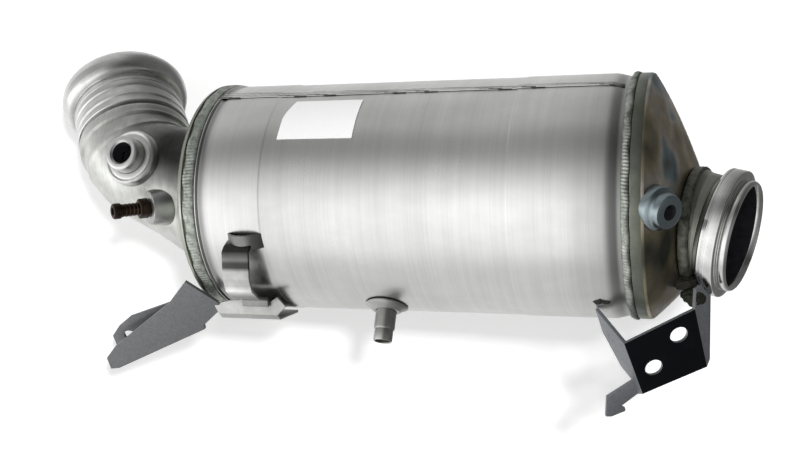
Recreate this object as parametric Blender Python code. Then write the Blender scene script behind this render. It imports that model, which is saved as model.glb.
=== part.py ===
"""Diesel particulate filter: welded steel canister with an elbowed inlet, an offset outlet and two brackets.

The can lies along X, with the inlet rim's edge at x = 0 and the outlet towards +X. The brackets' open
side faces -Y and +Z is up. All sizes are metres. Everything hangs on one empty, which moves the can's
frame so that the origin is the middle of the outlet bracket's bolting face.
"""
import math

import bmesh
import bpy
from mathutils import Matrix, Vector

# Fits, sheet and facets
GAP = 0.0003
SHEET = 0.0015
BRACKET_SHEET = 0.0022
CAN_SIDES = 60
PIPE_SIDES = 32
SMALL_SIDES = 24

# Can
CAN_RADIUS = 0.0825
CAN_LENGTH = 0.3108
SKIRT_LENGTH = 0.0097
SHELL_INSET = 0.0040
OUTLET_NECKING = 0.0020
OUTLET_NECKING_RUN = 0.0080
SIZED_FROM = 0.0570
SIZED_LENGTH = 0.1700
SIZED_DEPTH = 0.0005
SIZED_RUN = 0.0020
LAP_ANGLE = math.radians(28.0)
LAP_WIDTH = 0.0096
LAP_HEIGHT = 0.0009
LAP_END = 0.0060
BEAD_WIDTH = 0.0042
BEAD_HEIGHT = 0.0018

# Bricks and their mats
MAT_THICKNESS = 0.0048
CATALYST_START = 0.0130
CATALYST_LENGTH = 0.0380
FILTER_START = 0.0615
FILTER_LENGTH = 0.1610
MAT_INSET = 0.0030
RETAINER_WIDTH = 0.0050
RETAINER_DEPTH = 0.0080

# Inlet
FUNNEL_MOUTH = Vector((-0.0400, -0.0120, 0.0110))
FUNNEL_AIM = Vector((-0.87, -0.09, 0.48)).normalized()
FUNNEL_STEEPNESS = 0.0070
ELBOW_RADIUS = 0.0410
ELBOW_STRAIGHT = 0.0110
ELBOW_CORNER = 0.0220
ELBOW_END = Vector((-0.0850, 0.0, 0.0440))
INLET_AIM = Vector((-0.477, 0.524, 0.706)).normalized()
ELBOW_LIP = 0.0018
ELBOW_LIP_LENGTH = 0.0065
NECK_GROOVE_RADIUS = 0.0392
NECK_GROOVE = 0.0028
NECK_SPIGOT = 0.0040
NECK_RADIUS = 0.0430
NECK_LENGTH = 0.0330
FLARE_RADIUS = 0.0488
FLARE_LENGTH = 0.0190
PIPE_WALL = 0.0020

# Sensor boss and pressure fitting on the inlet
BOSS_AIM = Vector((-0.05, -0.92, 0.34)).normalized()
BOSS_RADIUS = 0.0130
BOSS_HEIGHT = 0.0105
BOSS_BORE = 0.0072
BOSS_PAD_RADIUS = 0.0205
BOSS_PAD_HEIGHT = 0.0030
FITTING_SEAT = FUNNEL_MOUTH + Vector((-0.0031, -0.0432, -0.0140))
FITTING_AIM = Vector((-0.63, -0.77, -0.03)).normalized()
FITTING_PAD_RADIUS = 0.0125
FITTING_RADIUS = 0.0044
FITTING_LENGTH = 0.0268
FITTING_HEX = 0.0070
FITTING_HEX_LENGTH = 0.0060
FITTING_TIP_RADIUS = 0.0054
FITTING_TIP_LENGTH = 0.0060
FITTING_BORE = 0.0030

# Outlet
DOME_HEIGHT = 0.0240
OUTLET_DROP = 0.0204
OUTLET_RADIUS = 0.0396
OUTLET_LEAN = math.radians(3.0)
OUTLET_YAW = math.radians(11.0)
COLLAR_RADIUS = 0.0404
COLLAR_LENGTH = 0.0072
OUTLET_AIM = Vector((0.948, -0.252, -0.195)).normalized()
OUTLET_NECK_LENGTH = 0.0134
OUTLET_NECK_RADIUS = 0.0362
FLANGE_RADIUS = 0.0424
FLANGE_LENGTH = 0.0214
FLANGE_BAND = 0.0152
FLANGE_GROOVE_RADIUS = 0.0366
LIP_RADIUS = 0.0370
OUTLET_BORE = 0.0325

# Sensor boss on the outlet dome
DOME_BOSS_AIM = Vector((0.75, -0.61, -0.20)).normalized()
DOME_BOSS_BASE = 0.0138
DOME_BOSS_RADIUS = 0.0108
DOME_BOSS_HEIGHT = 0.0100
DOME_BOSS_BORE = 0.0038

# Stub pipe under the can
STUB_X = 0.1315
STUB_ANGLE = math.radians(152.5)
STUB_RADIUS = 0.0073
STUB_BORE = 0.0052
STUB_LENGTH = 0.0260
STUB_BASE_RADIUS = 0.0152
STUB_BASE_HEIGHT = 0.0045

# Blank label
LABEL_START = 0.0670
LABEL_LENGTH = 0.0540
LABEL_FROM = math.radians(32.0)
LABEL_TO = math.radians(57.0)
LABEL_CLIP = 0.0050
LABEL_THICKNESS = 0.0003

# Outlet bracket
WEB_WIDTH = 0.0500
WEB_HEIGHT = 0.0485
WEB_TAPER = 0.0040
WEB_SLOPE = 0.0034
WEB_DROP = 0.0164
WEB_REACH = 0.0105
WEB_FORWARD = 0.0350
WEB_FACING = Vector((0.461, -0.811, -0.360)).normalized()
WEB_ALONG = Vector((0.871, 0.335, 0.360)).normalized()
BOLT_HOLE = 0.0060
WING_DEPTH = 0.0230
WING_WIDTH = 0.0155
WING_SPLAY = 0.30
TONGUE_BACK = 0.0070
HOLE_UPPER = (0.0107, 0.0100)
HOLE_LOWER = (-0.0109, -0.0070)

# Inlet bracket
ARM_START = 0.0009
ARM_OUT = 0.0050
ARM_UP = 0.0136
ARM_FACING = Vector((0.0, -0.849, -0.529)).normalized()
ARM_ALONG = Vector((-0.821, 0.302, -0.485)).normalized()
ARM_DEPTH = 0.0240
ARM_HOLE = (0.1150, 0.0010)

# Foot plate and hose clip
FOOT_START = 0.0070
FOOT_WIDTH = 0.0565
FOOT_INSET = 0.0245
FOOT_TOP_INSET = 0.0160
FOOT_BASE_INSET = 0.0040
FOOT_SPLIT = 0.0340
FOOT_CLIP = 0.0065
FOOT_BACK = -0.0220
CLIP_START = 0.0315
CLIP_WIDTH = 0.0200
CLIP_STANDOFF = 0.0055
CLIP_KNEE = 0.0570
CLIP_TOP = 0.0300
CLIP_SHEET = 0.0020

X_AXIS = Vector((1.0, 0.0, 0.0))


def clear_scene():
    for item in list(bpy.data.objects):
        bpy.data.objects.remove(item)


def material(name, colour, roughness, metallic):
    made = bpy.data.materials.new(name)
    made.use_nodes = True
    shader = made.node_tree.nodes["Principled BSDF"]
    shader.inputs["Base Color"].default_value = (*colour, 1.0)
    shader.inputs["Roughness"].default_value = roughness
    shader.inputs["Metallic"].default_value = metallic
    made.diffuse_color = (*colour, 1.0)
    return made


def make_root():
    """The empty that carries every piece and puts the bracket's bolting face at the origin."""
    root = bpy.data.objects.new("can_frame", None)
    bpy.context.collection.objects.link(root)
    root.location = -web_centre()
    return root


def web_centre():
    """Middle of the outlet bracket's bolting face, in the can's frame."""
    return Vector((CAN_LENGTH + WEB_REACH, -WEB_FORWARD, -CAN_RADIUS - WEB_DROP))


def add_object(name, bm, paint, frame=None):
    mesh = bpy.data.meshes.new(name)
    bm.to_mesh(mesh)
    bm.free()
    mesh.materials.append(paint)
    mesh.shade_smooth()
    mesh.set_sharp_from_angle(angle=math.radians(32.0))
    made = bpy.data.objects.new(name, mesh)
    bpy.context.collection.objects.link(made)
    made.parent = ROOT
    made.matrix_local = frame if frame else Matrix.Identity(4)
    return made


def aimed(origin, aim, hint=Vector((0.0, 1.0, 0.0))):
    """A frame whose Z runs along aim and whose X leans towards hint."""
    z = aim.normalized()
    x = (hint - z * hint.dot(z)).normalized()
    y = z.cross(x)
    frame = Matrix((x, y, z)).transposed().to_4x4()
    frame.translation = origin
    return frame


def around_can(x, angle, radius):
    """A point by its place along the can, its angle from the top towards -Y, and its radius."""
    return Vector((x, -radius * math.sin(angle), radius * math.cos(angle)))


def bezier(points, t):
    """The point at t on the Bezier curve through the first and last of points."""
    while len(points) > 1:
        points = [a.lerp(b, t) for a, b in zip(points, points[1:])]
    return points[0]


def turned(name, profile, frame, paint, sides):
    """Spins a closed outline of (radius, height) points about the frame's Z."""
    bm = bmesh.new()
    corners = [bm.verts.new((radius, 0.0, height)) for radius, height in profile]
    loop = [bm.edges.new(pair) for pair in zip(corners, corners[1:] + corners[:1])]
    bmesh.ops.spin(bm, geom=corners + loop, cent=(0, 0, 0), axis=(0, 0, 1),
                   angle=math.tau, steps=sides, use_merge=True)
    bmesh.ops.remove_doubles(bm, verts=bm.verts, dist=1e-6)
    bmesh.ops.recalc_face_normals(bm, faces=bm.faces)
    return add_object(name, bm, paint, frame)


def disc(name, radius, start, end, frame, paint, sides):
    """A solid round bar from start to end along the frame's Z."""
    return turned(name, [(0, start), (radius, start), (radius, end), (0, end)], frame, paint, sides)


def stacked_rings(bm, rings, sides, grow=0.0):
    """Bridges circles given as (centre, aim, radius) into one open tube, and returns the end loops."""
    loops = []
    for centre, aim, radius in rings:
        circle = bmesh.ops.create_circle(bm, segments=sides, radius=radius + grow,
                                         matrix=aimed(centre, aim))
        loops.append(list({edge for vert in circle["verts"] for edge in vert.link_edges}))
    for lower, upper in zip(loops, loops[1:]):
        bmesh.ops.bridge_loops(bm, edges=lower + upper)
    return loops[0], loops[-1]


def sheet_loft(name, rings, wall, paint, sides):
    """A thin-walled tube through rings, whose wall lies inside them."""
    bm = bmesh.new()
    stacked_rings(bm, rings, sides)
    bmesh.ops.recalc_face_normals(bm, faces=bm.faces)
    face = next(iter(bm.faces))
    nearest = min(rings, key=lambda ring: (ring[0] - face.calc_center_median()).length - ring[2])
    if face.normal.dot(face.calc_center_median() - nearest[0]) < 0:
        bmesh.ops.reverse_faces(bm, faces=bm.faces)
    made = add_object(name, bm, paint)
    solidify = made.modifiers.new("wall", "SOLIDIFY")
    solidify.thickness = wall
    solidify.offset = -1.0
    solidify.use_even_offset = True
    return made


def loft_cutter(name, rings, grow, sides):
    """A closed solid through rings, larger by grow, that only cuts other pieces."""
    bm = bmesh.new()
    for loop in stacked_rings(bm, rings, sides, grow):
        bmesh.ops.contextual_create(bm, geom=loop)
    bmesh.ops.recalc_face_normals(bm, faces=bm.faces)
    return as_cutter(add_object(name, bm, STEEL))


def as_cutter(made):
    made.hide_render = True
    made.display_type = "WIRE"
    return made


def cut(made, cutter):
    boolean = made.modifiers.new("cut", "BOOLEAN")
    boolean.operation = "DIFFERENCE"
    boolean.solver = "EXACT"
    boolean.object = cutter


def bore_cutter(name, radius, start, end, frame, sides=SMALL_SIDES):
    return as_cutter(disc(name, radius, start, end, frame, STEEL, sides))


def bead_ring(name, radius, start, frame, paint, sides, towards=1):
    """A weld bead round a pipe of the given radius, from start, leaning on the edge behind it."""
    seat = radius + GAP
    profile = [(0.0, 0.0), (1.0, 0.0), (0.80, 0.45), (0.42, 0.85), (0.0, 1.0)]
    outline = [(seat + high * BEAD_HEIGHT, start + towards * along * BEAD_WIDTH)
               for along, high in profile]
    return turned(name, outline, frame, paint, sides)


def folded_sheet(name, faces, thickness, paint, frame=None, offset=-1.0):
    """A bent sheet from flat faces that share edges, given a thickness behind the first one's front."""
    bm = bmesh.new()
    for outline in faces:
        bm.faces.new([bm.verts.new(point) for point in outline])
    bmesh.ops.remove_doubles(bm, verts=bm.verts, dist=1e-5)
    bm.faces.ensure_lookup_table()
    bm.normal_update()
    front = bm.faces[0].normal.copy()
    bmesh.ops.recalc_face_normals(bm, faces=bm.faces)
    if bm.faces[0].normal.dot(front) < 0:
        bmesh.ops.reverse_faces(bm, faces=bm.faces)
    made = add_object(name, bm, paint, frame)
    solidify = made.modifiers.new("sheet", "SOLIDIFY")
    solidify.thickness = thickness
    solidify.offset = offset
    solidify.use_even_offset = True
    return made


def bent_strip(name, path, width, thickness, paint, frame, offset=-1.0):
    """A strip that follows a path of (y, z) points and is width wide along X."""
    faces = []
    for a, b in zip(path, path[1:]):
        faces.append([(0, *a), (width, *a), (width, *b), (0, *b)])
    return folded_sheet(name, faces, thickness, paint, frame, offset)


def shell_radius(x, angle):
    """The can's outer radius, with its sized middle and the lap of its rolled sheet."""
    sized_to = SIZED_FROM + SIZED_LENGTH
    radius = CAN_RADIUS
    if SIZED_FROM < x < sized_to:
        radius -= SIZED_DEPTH
    if x > CAN_LENGTH - lap_start() - 1e-6:
        radius -= OUTLET_NECKING
    lap_half = 0.5 * LAP_WIDTH / CAN_RADIUS
    in_run = lap_start() < x < CAN_LENGTH - lap_start()
    if in_run and abs(angle - LAP_ANGLE) < lap_half + 1e-6:
        radius += LAP_HEIGHT
    return radius


def lap_start():
    return SKIRT_LENGTH + GAP + BEAD_WIDTH + LAP_END * 0.2


def build_shell():
    """The rolled can: one grid of rings for the outside and one, a sheet smaller, for the inside."""
    sized_to = SIZED_FROM + SIZED_LENGTH
    lap_half = 0.5 * LAP_WIDTH / CAN_RADIUS
    step = math.tau / CAN_SIDES
    edges = [LAP_ANGLE - lap_half, LAP_ANGLE + lap_half]
    angles = [n * step for n in range(CAN_SIDES) if min(abs(n * step - edge) for edge in edges) > step / 3]
    angles += edges + [edges[0] - step / 8, edges[1] + step / 8]
    angles.sort()
    tiny = 1e-5
    stations = [SHELL_INSET, lap_start(), lap_start() + LAP_HEIGHT, SIZED_FROM, SIZED_FROM + SIZED_RUN,
                sized_to - SIZED_RUN, sized_to, CAN_LENGTH - lap_start() - OUTLET_NECKING_RUN,
                CAN_LENGTH - lap_start(), CAN_LENGTH - SHELL_INSET]
    bm = bmesh.new()

    def ring(x, inner):
        verts = []
        for angle in angles:
            radius = shell_radius(x, angle)
            if inner:
                radius = shell_radius(x, LAP_ANGLE + math.pi) - SHEET
            verts.append(bm.verts.new(around_can(x, angle, radius)))
        return verts

    rings = [ring(x, False) for x in stations]
    rings += [ring(x, True) for x in reversed(stations)]
    for near, far in zip(rings, rings[1:] + rings[:1]):
        for i in range(len(angles)):
            j = (i + 1) % len(angles)
            bm.faces.new((near[i], near[j], far[j], far[i]))
    bmesh.ops.recalc_face_normals(bm, faces=bm.faces)
    add_object("canister_shell", bm, BRUSHED)


def build_bricks():
    """The two bricks with the mats that hold them, and a retaining ring after each."""
    along = aimed(Vector((0, 0, 0)), X_AXIS)
    inside = CAN_RADIUS - SIZED_DEPTH - SHEET - GAP
    brick = inside - MAT_THICKNESS
    places = (("catalyst", CATALYST_START, CATALYST_LENGTH), ("filter", FILTER_START, FILTER_LENGTH))
    for name, start, length in places:
        end = start + length
        disc(name + "_brick", brick - GAP, start, end, along, CERAMIC, CAN_SIDES)
        mat = [(brick, start + MAT_INSET), (inside, start + MAT_INSET),
               (inside, end - MAT_INSET), (brick, end - MAT_INSET)]
        turned(name + "_mat", mat, along, FIBRE, CAN_SIDES)
        ring = [(inside - RETAINER_DEPTH, end + GAP), (inside, end + GAP),
                (inside, end + GAP + RETAINER_WIDTH),
                (inside - SHEET, end + GAP + RETAINER_WIDTH),
                (inside - SHEET, end + GAP + SHEET), (inside - RETAINER_DEPTH, end + GAP + SHEET)]
        turned(name + "_retainer", ring, along, STEEL, CAN_SIDES)


def skirt_radius():
    return CAN_RADIUS + GAP + SHEET


def cone_rings():
    """The inlet housing: skirt, rounded rim, steep end wall, bent pipe, and the lip below the neck."""
    rim = skirt_radius()
    zero = Vector((0.0, 0.0, 0.0))
    rings = [(Vector((SKIRT_LENGTH, 0, 0)), -X_AXIS, rim), (Vector((0.0016, 0, 0)), -X_AXIS, rim),
             (Vector((0.0001, 0, 0)), -X_AXIS, rim - 0.0009)]
    handle_in = -X_AXIS * FUNNEL_STEEPNESS
    handle_out = FUNNEL_MOUTH - FUNNEL_AIM * 0.0200
    for t, share in ((0.08, 0.86), (0.18, 0.66), (0.30, 0.46), (0.44, 0.285), (0.60, 0.145),
                     (0.78, 0.045), (0.94, 0.0)):
        centre = bezier([zero, handle_in, handle_out, FUNNEL_MOUTH], t)
        aim = (-X_AXIS).lerp(FUNNEL_AIM, t).normalized()
        rings.append((centre, aim, ELBOW_RADIUS + (rim - ELBOW_RADIUS) * share))
    straight = FUNNEL_MOUTH + FUNNEL_AIM * ELBOW_STRAIGHT
    end = ELBOW_END - INLET_AIM * (ELBOW_LIP_LENGTH + NECK_GROOVE / 2)
    corner = end - INLET_AIM * ELBOW_CORNER
    near = straight + FUNNEL_AIM * ELBOW_CORNER * 0.35
    for n in range(7):
        t = n / 6
        centre = bezier([straight, near, corner, end], t)
        aim = FUNNEL_AIM.lerp(INLET_AIM, t * t * (3 - 2 * t)).normalized()
        rings.append((centre, aim, ELBOW_RADIUS))
    lip = ELBOW_RADIUS + ELBOW_LIP
    rings.append((end + INLET_AIM * 0.0012, INLET_AIM, lip))
    rings.append((end + INLET_AIM * ELBOW_LIP_LENGTH, INLET_AIM, lip))
    return rings


def build_inlet():
    cone = sheet_loft("inlet_cone", cone_rings(), SHEET, OLIVE, CAN_SIDES)
    along = aimed(Vector((0, 0, 0)), X_AXIS)
    bead_ring("inlet_rim_weld", CAN_RADIUS, SKIRT_LENGTH + GAP, along, WELD, CAN_SIDES)
    build_neck()
    build_flare()
    skin = loft_cutter("cone_clearance", cone_rings(), GAP, CAN_SIDES)
    build_sensor_boss(cone, skin)
    build_pressure_fitting(skin)


def build_neck():
    """Turned neck: a spigot inside the elbow's lip, the groove above it, then stepped collars."""
    base = aimed(ELBOW_END - INLET_AIM * (NECK_GROOVE / 2 - GAP), INLET_AIM)
    bore = NECK_GROOVE_RADIUS - PIPE_WALL
    groove = NECK_GROOVE_RADIUS
    full = NECK_RADIUS
    seat = ELBOW_RADIUS + ELBOW_LIP - SHEET - GAP
    profile = [(bore, -NECK_SPIGOT), (seat, -NECK_SPIGOT), (seat, -0.0010), (groove, 0),
               (groove, NECK_GROOVE), (full, NECK_GROOVE + 0.0006),
               (full, 0.0080), (full - 0.0014, 0.0088), (full - 0.0014, 0.0104),
               (full - 0.0004, 0.0112), (full - 0.0004, 0.0180), (full - 0.0016, 0.0190),
               (full - 0.0016, 0.0204), (full - 0.0008, 0.0212), (full - 0.0008, 0.0300),
               (full - 0.0016, NECK_LENGTH), (bore + 0.0016, NECK_LENGTH)]
    turned("inlet_neck", profile, base, CAST, PIPE_SIDES)


def build_flare():
    """The bell that meets the exhaust manifold's pipe."""
    start = NECK_LENGTH - NECK_GROOVE / 2 + 2 * GAP
    base = aimed(ELBOW_END + INLET_AIM * start, INLET_AIM)
    throat = NECK_RADIUS - 0.0006
    swell = FLARE_RADIUS - throat
    outer = [(throat, 0.0)]
    for n in range(1, 8):
        turn = n / 7 * math.radians(118.0)
        outer.append((throat + swell * math.sin(turn) ** 0.8 if turn < math.pi / 2 else
                      FLARE_RADIUS - swell * 0.9 * (1 - math.sin(turn)) * 3,
                      FLARE_LENGTH * (1 - math.cos(turn)) / (1 - math.cos(math.radians(118.0)))))
    inner = [(radius - PIPE_WALL, height - (0.0008 if height > 0.001 else 0)) for radius, height in outer]
    turned("inlet_flare", outer + inner[::-1], base, CAST, PIPE_SIDES + 8)


def build_sensor_boss(cone, skin):
    """Round pad on the bend's outer side and the threaded boss that stands on it."""
    root = FUNNEL_MOUTH + FUNNEL_AIM * (ELBOW_STRAIGHT + 0.0060)
    frame = aimed(root, BOSS_AIM)
    top = ELBOW_RADIUS + BOSS_PAD_HEIGHT
    pad_profile = [(BOSS_RADIUS + GAP, 0.020), (BOSS_PAD_RADIUS, 0.020),
                   (BOSS_PAD_RADIUS, top - 0.0016), (BOSS_PAD_RADIUS - 0.0018, top),
                   (BOSS_RADIUS + GAP, top)]
    pad = turned("elbow_boss_pad", pad_profile, frame, CAST, SMALL_SIDES + 8)
    cut(pad, skin)
    end = top + BOSS_HEIGHT
    boss_profile = [(BOSS_BORE, 0.022), (BOSS_RADIUS, 0.022), (BOSS_RADIUS, end - 0.0012),
                    (BOSS_RADIUS - 0.0012, end), (BOSS_BORE + 0.0014, end), (BOSS_BORE, end - 0.0014)]
    boss = turned("elbow_sensor_boss", boss_profile, frame, CAST, SMALL_SIDES + 4)
    cut(boss, skin)
    cut(cone, bore_cutter("elbow_bore", BOSS_BORE, 0.010, end, frame))


def build_pressure_fitting(skin):
    """Pad on the housing's lower front, with the threaded pressure pipe fitting in it."""
    frame = aimed(FITTING_SEAT, FITTING_AIM)
    pad_profile = [(0.0, -0.015), (FITTING_PAD_RADIUS, -0.015), (FITTING_PAD_RADIUS, -0.0010),
                   (FITTING_PAD_RADIUS - 0.0010, 0.0), (0.0, 0.0)]
    pad = turned("pressure_pad", pad_profile, frame, STEEL, SMALL_SIDES)
    cut(pad, skin)
    bore = FITTING_BORE
    hex_end = GAP + FITTING_HEX_LENGTH
    turned("fitting_nut", [(bore, GAP), (FITTING_HEX, GAP), (FITTING_HEX, hex_end), (bore, hex_end)],
           frame, COPPER, 6)
    neck = FITTING_RADIUS
    tip = FITTING_TIP_RADIUS
    end = FITTING_LENGTH
    tip_start = end - FITTING_TIP_LENGTH
    profile = [(bore, hex_end + GAP), (neck, hex_end + GAP), (neck, tip_start), (tip, tip_start + 0.0008),
               (tip, end - 0.0008), (tip - 0.0008, end), (bore, end)]
    turned("pressure_fitting", profile, frame, COPPER, 16)


def outlet_base():
    """Centre of the dome's mouth."""
    return Vector((CAN_LENGTH + DOME_HEIGHT, 0.0, -OUTLET_DROP))


def yawed(aim, share):
    """An aim turned towards -Y by a share of the mouth's yaw."""
    return Matrix.Rotation(-OUTLET_YAW * share, 3, "Z") @ aim


def mouth_aim():
    return yawed(Vector((math.cos(OUTLET_LEAN), 0.0, -math.sin(OUTLET_LEAN))), 1.0)


def dome_rings():
    """Skirt and rounded rim, then circles between the dome's crown line and its keel line."""
    rim = skirt_radius() - OUTLET_NECKING
    rings = [(Vector((CAN_LENGTH - SKIRT_LENGTH + 0.0017, 0, 0)), X_AXIS, rim),
             (Vector((CAN_LENGTH - 0.0014, 0, 0)), X_AXIS, rim)]
    across = Vector((math.sin(OUTLET_LEAN), 0.0, math.cos(OUTLET_LEAN)))
    crown_end = outlet_base() + across * OUTLET_RADIUS
    keel_end = outlet_base() - across * OUTLET_RADIUS
    crown = [Vector((CAN_LENGTH, 0, rim)), Vector((CAN_LENGTH + 0.0138, 0, rim - 0.0208)), crown_end]
    keel = [Vector((CAN_LENGTH, 0, -rim)), Vector((CAN_LENGTH + 0.0120, 0, -rim + 0.0105)), keel_end]
    for n in range(8):
        t = 0.015 + 0.985 * n / 7
        high = bezier(crown, t)
        low = bezier(keel, t)
        aim = Vector((high.z - low.z, 0.0, low.x - high.x)).normalized()
        rings.append(((high + low) / 2, yawed(aim, t * t), (high - low).length / 2))
    return rings


def neck_rings():
    """The collar that is welded to the dome's mouth, and the neck that turns from it to the flange."""
    aim = mouth_aim()
    start = outlet_base() + aim * GAP
    rings = [(start, aim, COLLAR_RADIUS - 0.0008), (start + aim * 0.0010, aim, COLLAR_RADIUS),
             (start + aim * (COLLAR_LENGTH - 0.0010), aim, COLLAR_RADIUS)]
    shoulder = start + aim * COLLAR_LENGTH
    narrow = OUTLET_NECK_RADIUS + 0.0010
    rings.append((shoulder, aim, (COLLAR_RADIUS + narrow) / 2))
    end = outlet_end()
    middle = shoulder.lerp(end, 0.5) + aim * 0.0003
    for n in range(1, 5):
        t = 0.2 + 0.8 * n / 4
        rings.append((bezier([shoulder, middle, end], t), aim.lerp(OUTLET_AIM, t).normalized(),
                      narrow + (OUTLET_NECK_RADIUS - narrow) * t))
    return rings


def outlet_end():
    """Where the neck meets the flange."""
    return outlet_base() + mouth_aim().lerp(OUTLET_AIM, 0.4).normalized() * OUTLET_NECK_LENGTH


def build_outlet():
    dome = sheet_loft("outlet_dome", dome_rings(), SHEET, OLIVE, CAN_SIDES)
    sheet_loft("outlet_neck", neck_rings(), SHEET, CAST, PIPE_SIDES)
    along = aimed(Vector((0, 0, 0)), X_AXIS)
    bead_ring("outlet_rim_weld", CAN_RADIUS - OUTLET_NECKING, CAN_LENGTH - SKIRT_LENGTH + 0.0017 - GAP, along, WELD,
              CAN_SIDES, towards=-1)
    build_flange()
    build_dome_boss(dome)


def flange_frame():
    return aimed(outlet_end() + OUTLET_AIM * GAP, OUTLET_AIM)


def build_flange():
    """Turned clamp flange: a cone up to the band, a groove, and the lip round the opening."""
    root = OUTLET_NECK_RADIUS
    length = FLANGE_LENGTH
    band = FLANGE_BAND
    groove = FLANGE_GROOVE_RADIUS
    profile = [(OUTLET_BORE, 0.0), (root, 0.0), (root + 0.0008, 0.0010), (FLANGE_RADIUS - 0.0008, 0.0040),
               (FLANGE_RADIUS, 0.0048), (FLANGE_RADIUS, band - 0.0010), (FLANGE_RADIUS - 0.0008, band - 0.0002),
               (groove, band), (groove, band + 0.0014), (LIP_RADIUS, band + 0.0018), (LIP_RADIUS, length - 0.0014),
               (LIP_RADIUS - 0.0012, length), (OUTLET_BORE + 0.0022, length),
               (OUTLET_BORE, length - 0.0030)]
    turned("outlet_flange", profile, flange_frame(), POLISHED, PIPE_SIDES + 16)


def build_dome_boss(dome):
    """Threaded boss on the near side of the outlet dome."""
    frame = aimed(Vector((CAN_LENGTH + 0.0080, -0.89 * CAN_RADIUS, -0.0010)), DOME_BOSS_AIM)
    behind = [(Vector((CAN_LENGTH / 2, 0, 0)), X_AXIS, skirt_radius())]
    skin = loft_cutter("dome_clearance", behind + dome_rings(), GAP, CAN_SIDES)
    end = DOME_BOSS_HEIGHT
    profile = [(DOME_BOSS_BORE, -0.012), (DOME_BOSS_BASE, -0.012),
               (DOME_BOSS_BASE, 0.0020), (DOME_BOSS_RADIUS, 0.0050),
               (DOME_BOSS_RADIUS, end - 0.0012), (DOME_BOSS_RADIUS - 0.0012, end),
               (DOME_BOSS_BORE + 0.0010, end), (DOME_BOSS_BORE, end - 0.0010)]
    boss = turned("dome_sensor_boss", profile, frame, ZINC, SMALL_SIDES)
    cut(boss, skin)
    cut(dome, bore_cutter("dome_bore", DOME_BOSS_BORE, -0.030, end, frame))


def build_stub():
    """Stub pipe under the can, in a cone-shaped base that is welded to the shell."""
    root = Vector((STUB_X, 0.0, 0.0))
    aim = around_can(0.0, STUB_ANGLE, 1.0)
    frame = aimed(root, aim)
    shell = CAN_RADIUS - SIZED_DEPTH
    skin = loft_cutter("shell_clearance", [(Vector((0, 0, 0)), X_AXIS, CAN_RADIUS),
                                           (Vector((CAN_LENGTH, 0, 0)), X_AXIS, CAN_RADIUS)], GAP, CAN_SIDES)
    top = shell + STUB_BASE_HEIGHT
    base = turned("stub_base", [(STUB_RADIUS + GAP, shell - 0.005), (STUB_BASE_RADIUS, shell - 0.005),
                                (STUB_BASE_RADIUS, shell + 0.0005), (STUB_RADIUS + 0.0024, top),
                                (STUB_RADIUS + GAP, top)], frame, STEEL, SMALL_SIDES)
    cut(base, skin)
    end = shell + STUB_LENGTH
    pipe = turned("stub_pipe", [(STUB_BORE, shell - 0.005), (STUB_RADIUS, shell - 0.005),
                                (STUB_RADIUS, end - 0.009), (STUB_RADIUS - 0.0008, end - 0.008),
                                (STUB_RADIUS - 0.0008, end), (STUB_BORE, end)], frame, STEEL, SMALL_SIDES)
    cut(pipe, skin)


def build_label():
    """Blank label on the upper front of the shell, with one clipped corner."""
    inner = CAN_RADIUS - SIZED_DEPTH + GAP
    end = LABEL_START + LABEL_LENGTH
    rows = 8
    bm = bmesh.new()
    pairs = []
    for n in range(rows + 1):
        t = n / rows
        angle = LABEL_FROM + (LABEL_TO - LABEL_FROM) * t
        start = LABEL_START + LABEL_CLIP * max(0.0, 1 - t / 0.45)
        pairs.append([bm.verts.new(around_can(x, angle, inner + LABEL_THICKNESS)) for x in (start, end)])
    for a, b in zip(pairs, pairs[1:]):
        bm.faces.new((a[0], b[0], b[1], a[1]))
    made = add_object("blank_label", bm, PAPER)
    solidify = made.modifiers.new("paper", "SOLIDIFY")
    solidify.thickness = LABEL_THICKNESS
    solidify.offset = -1.0


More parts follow.
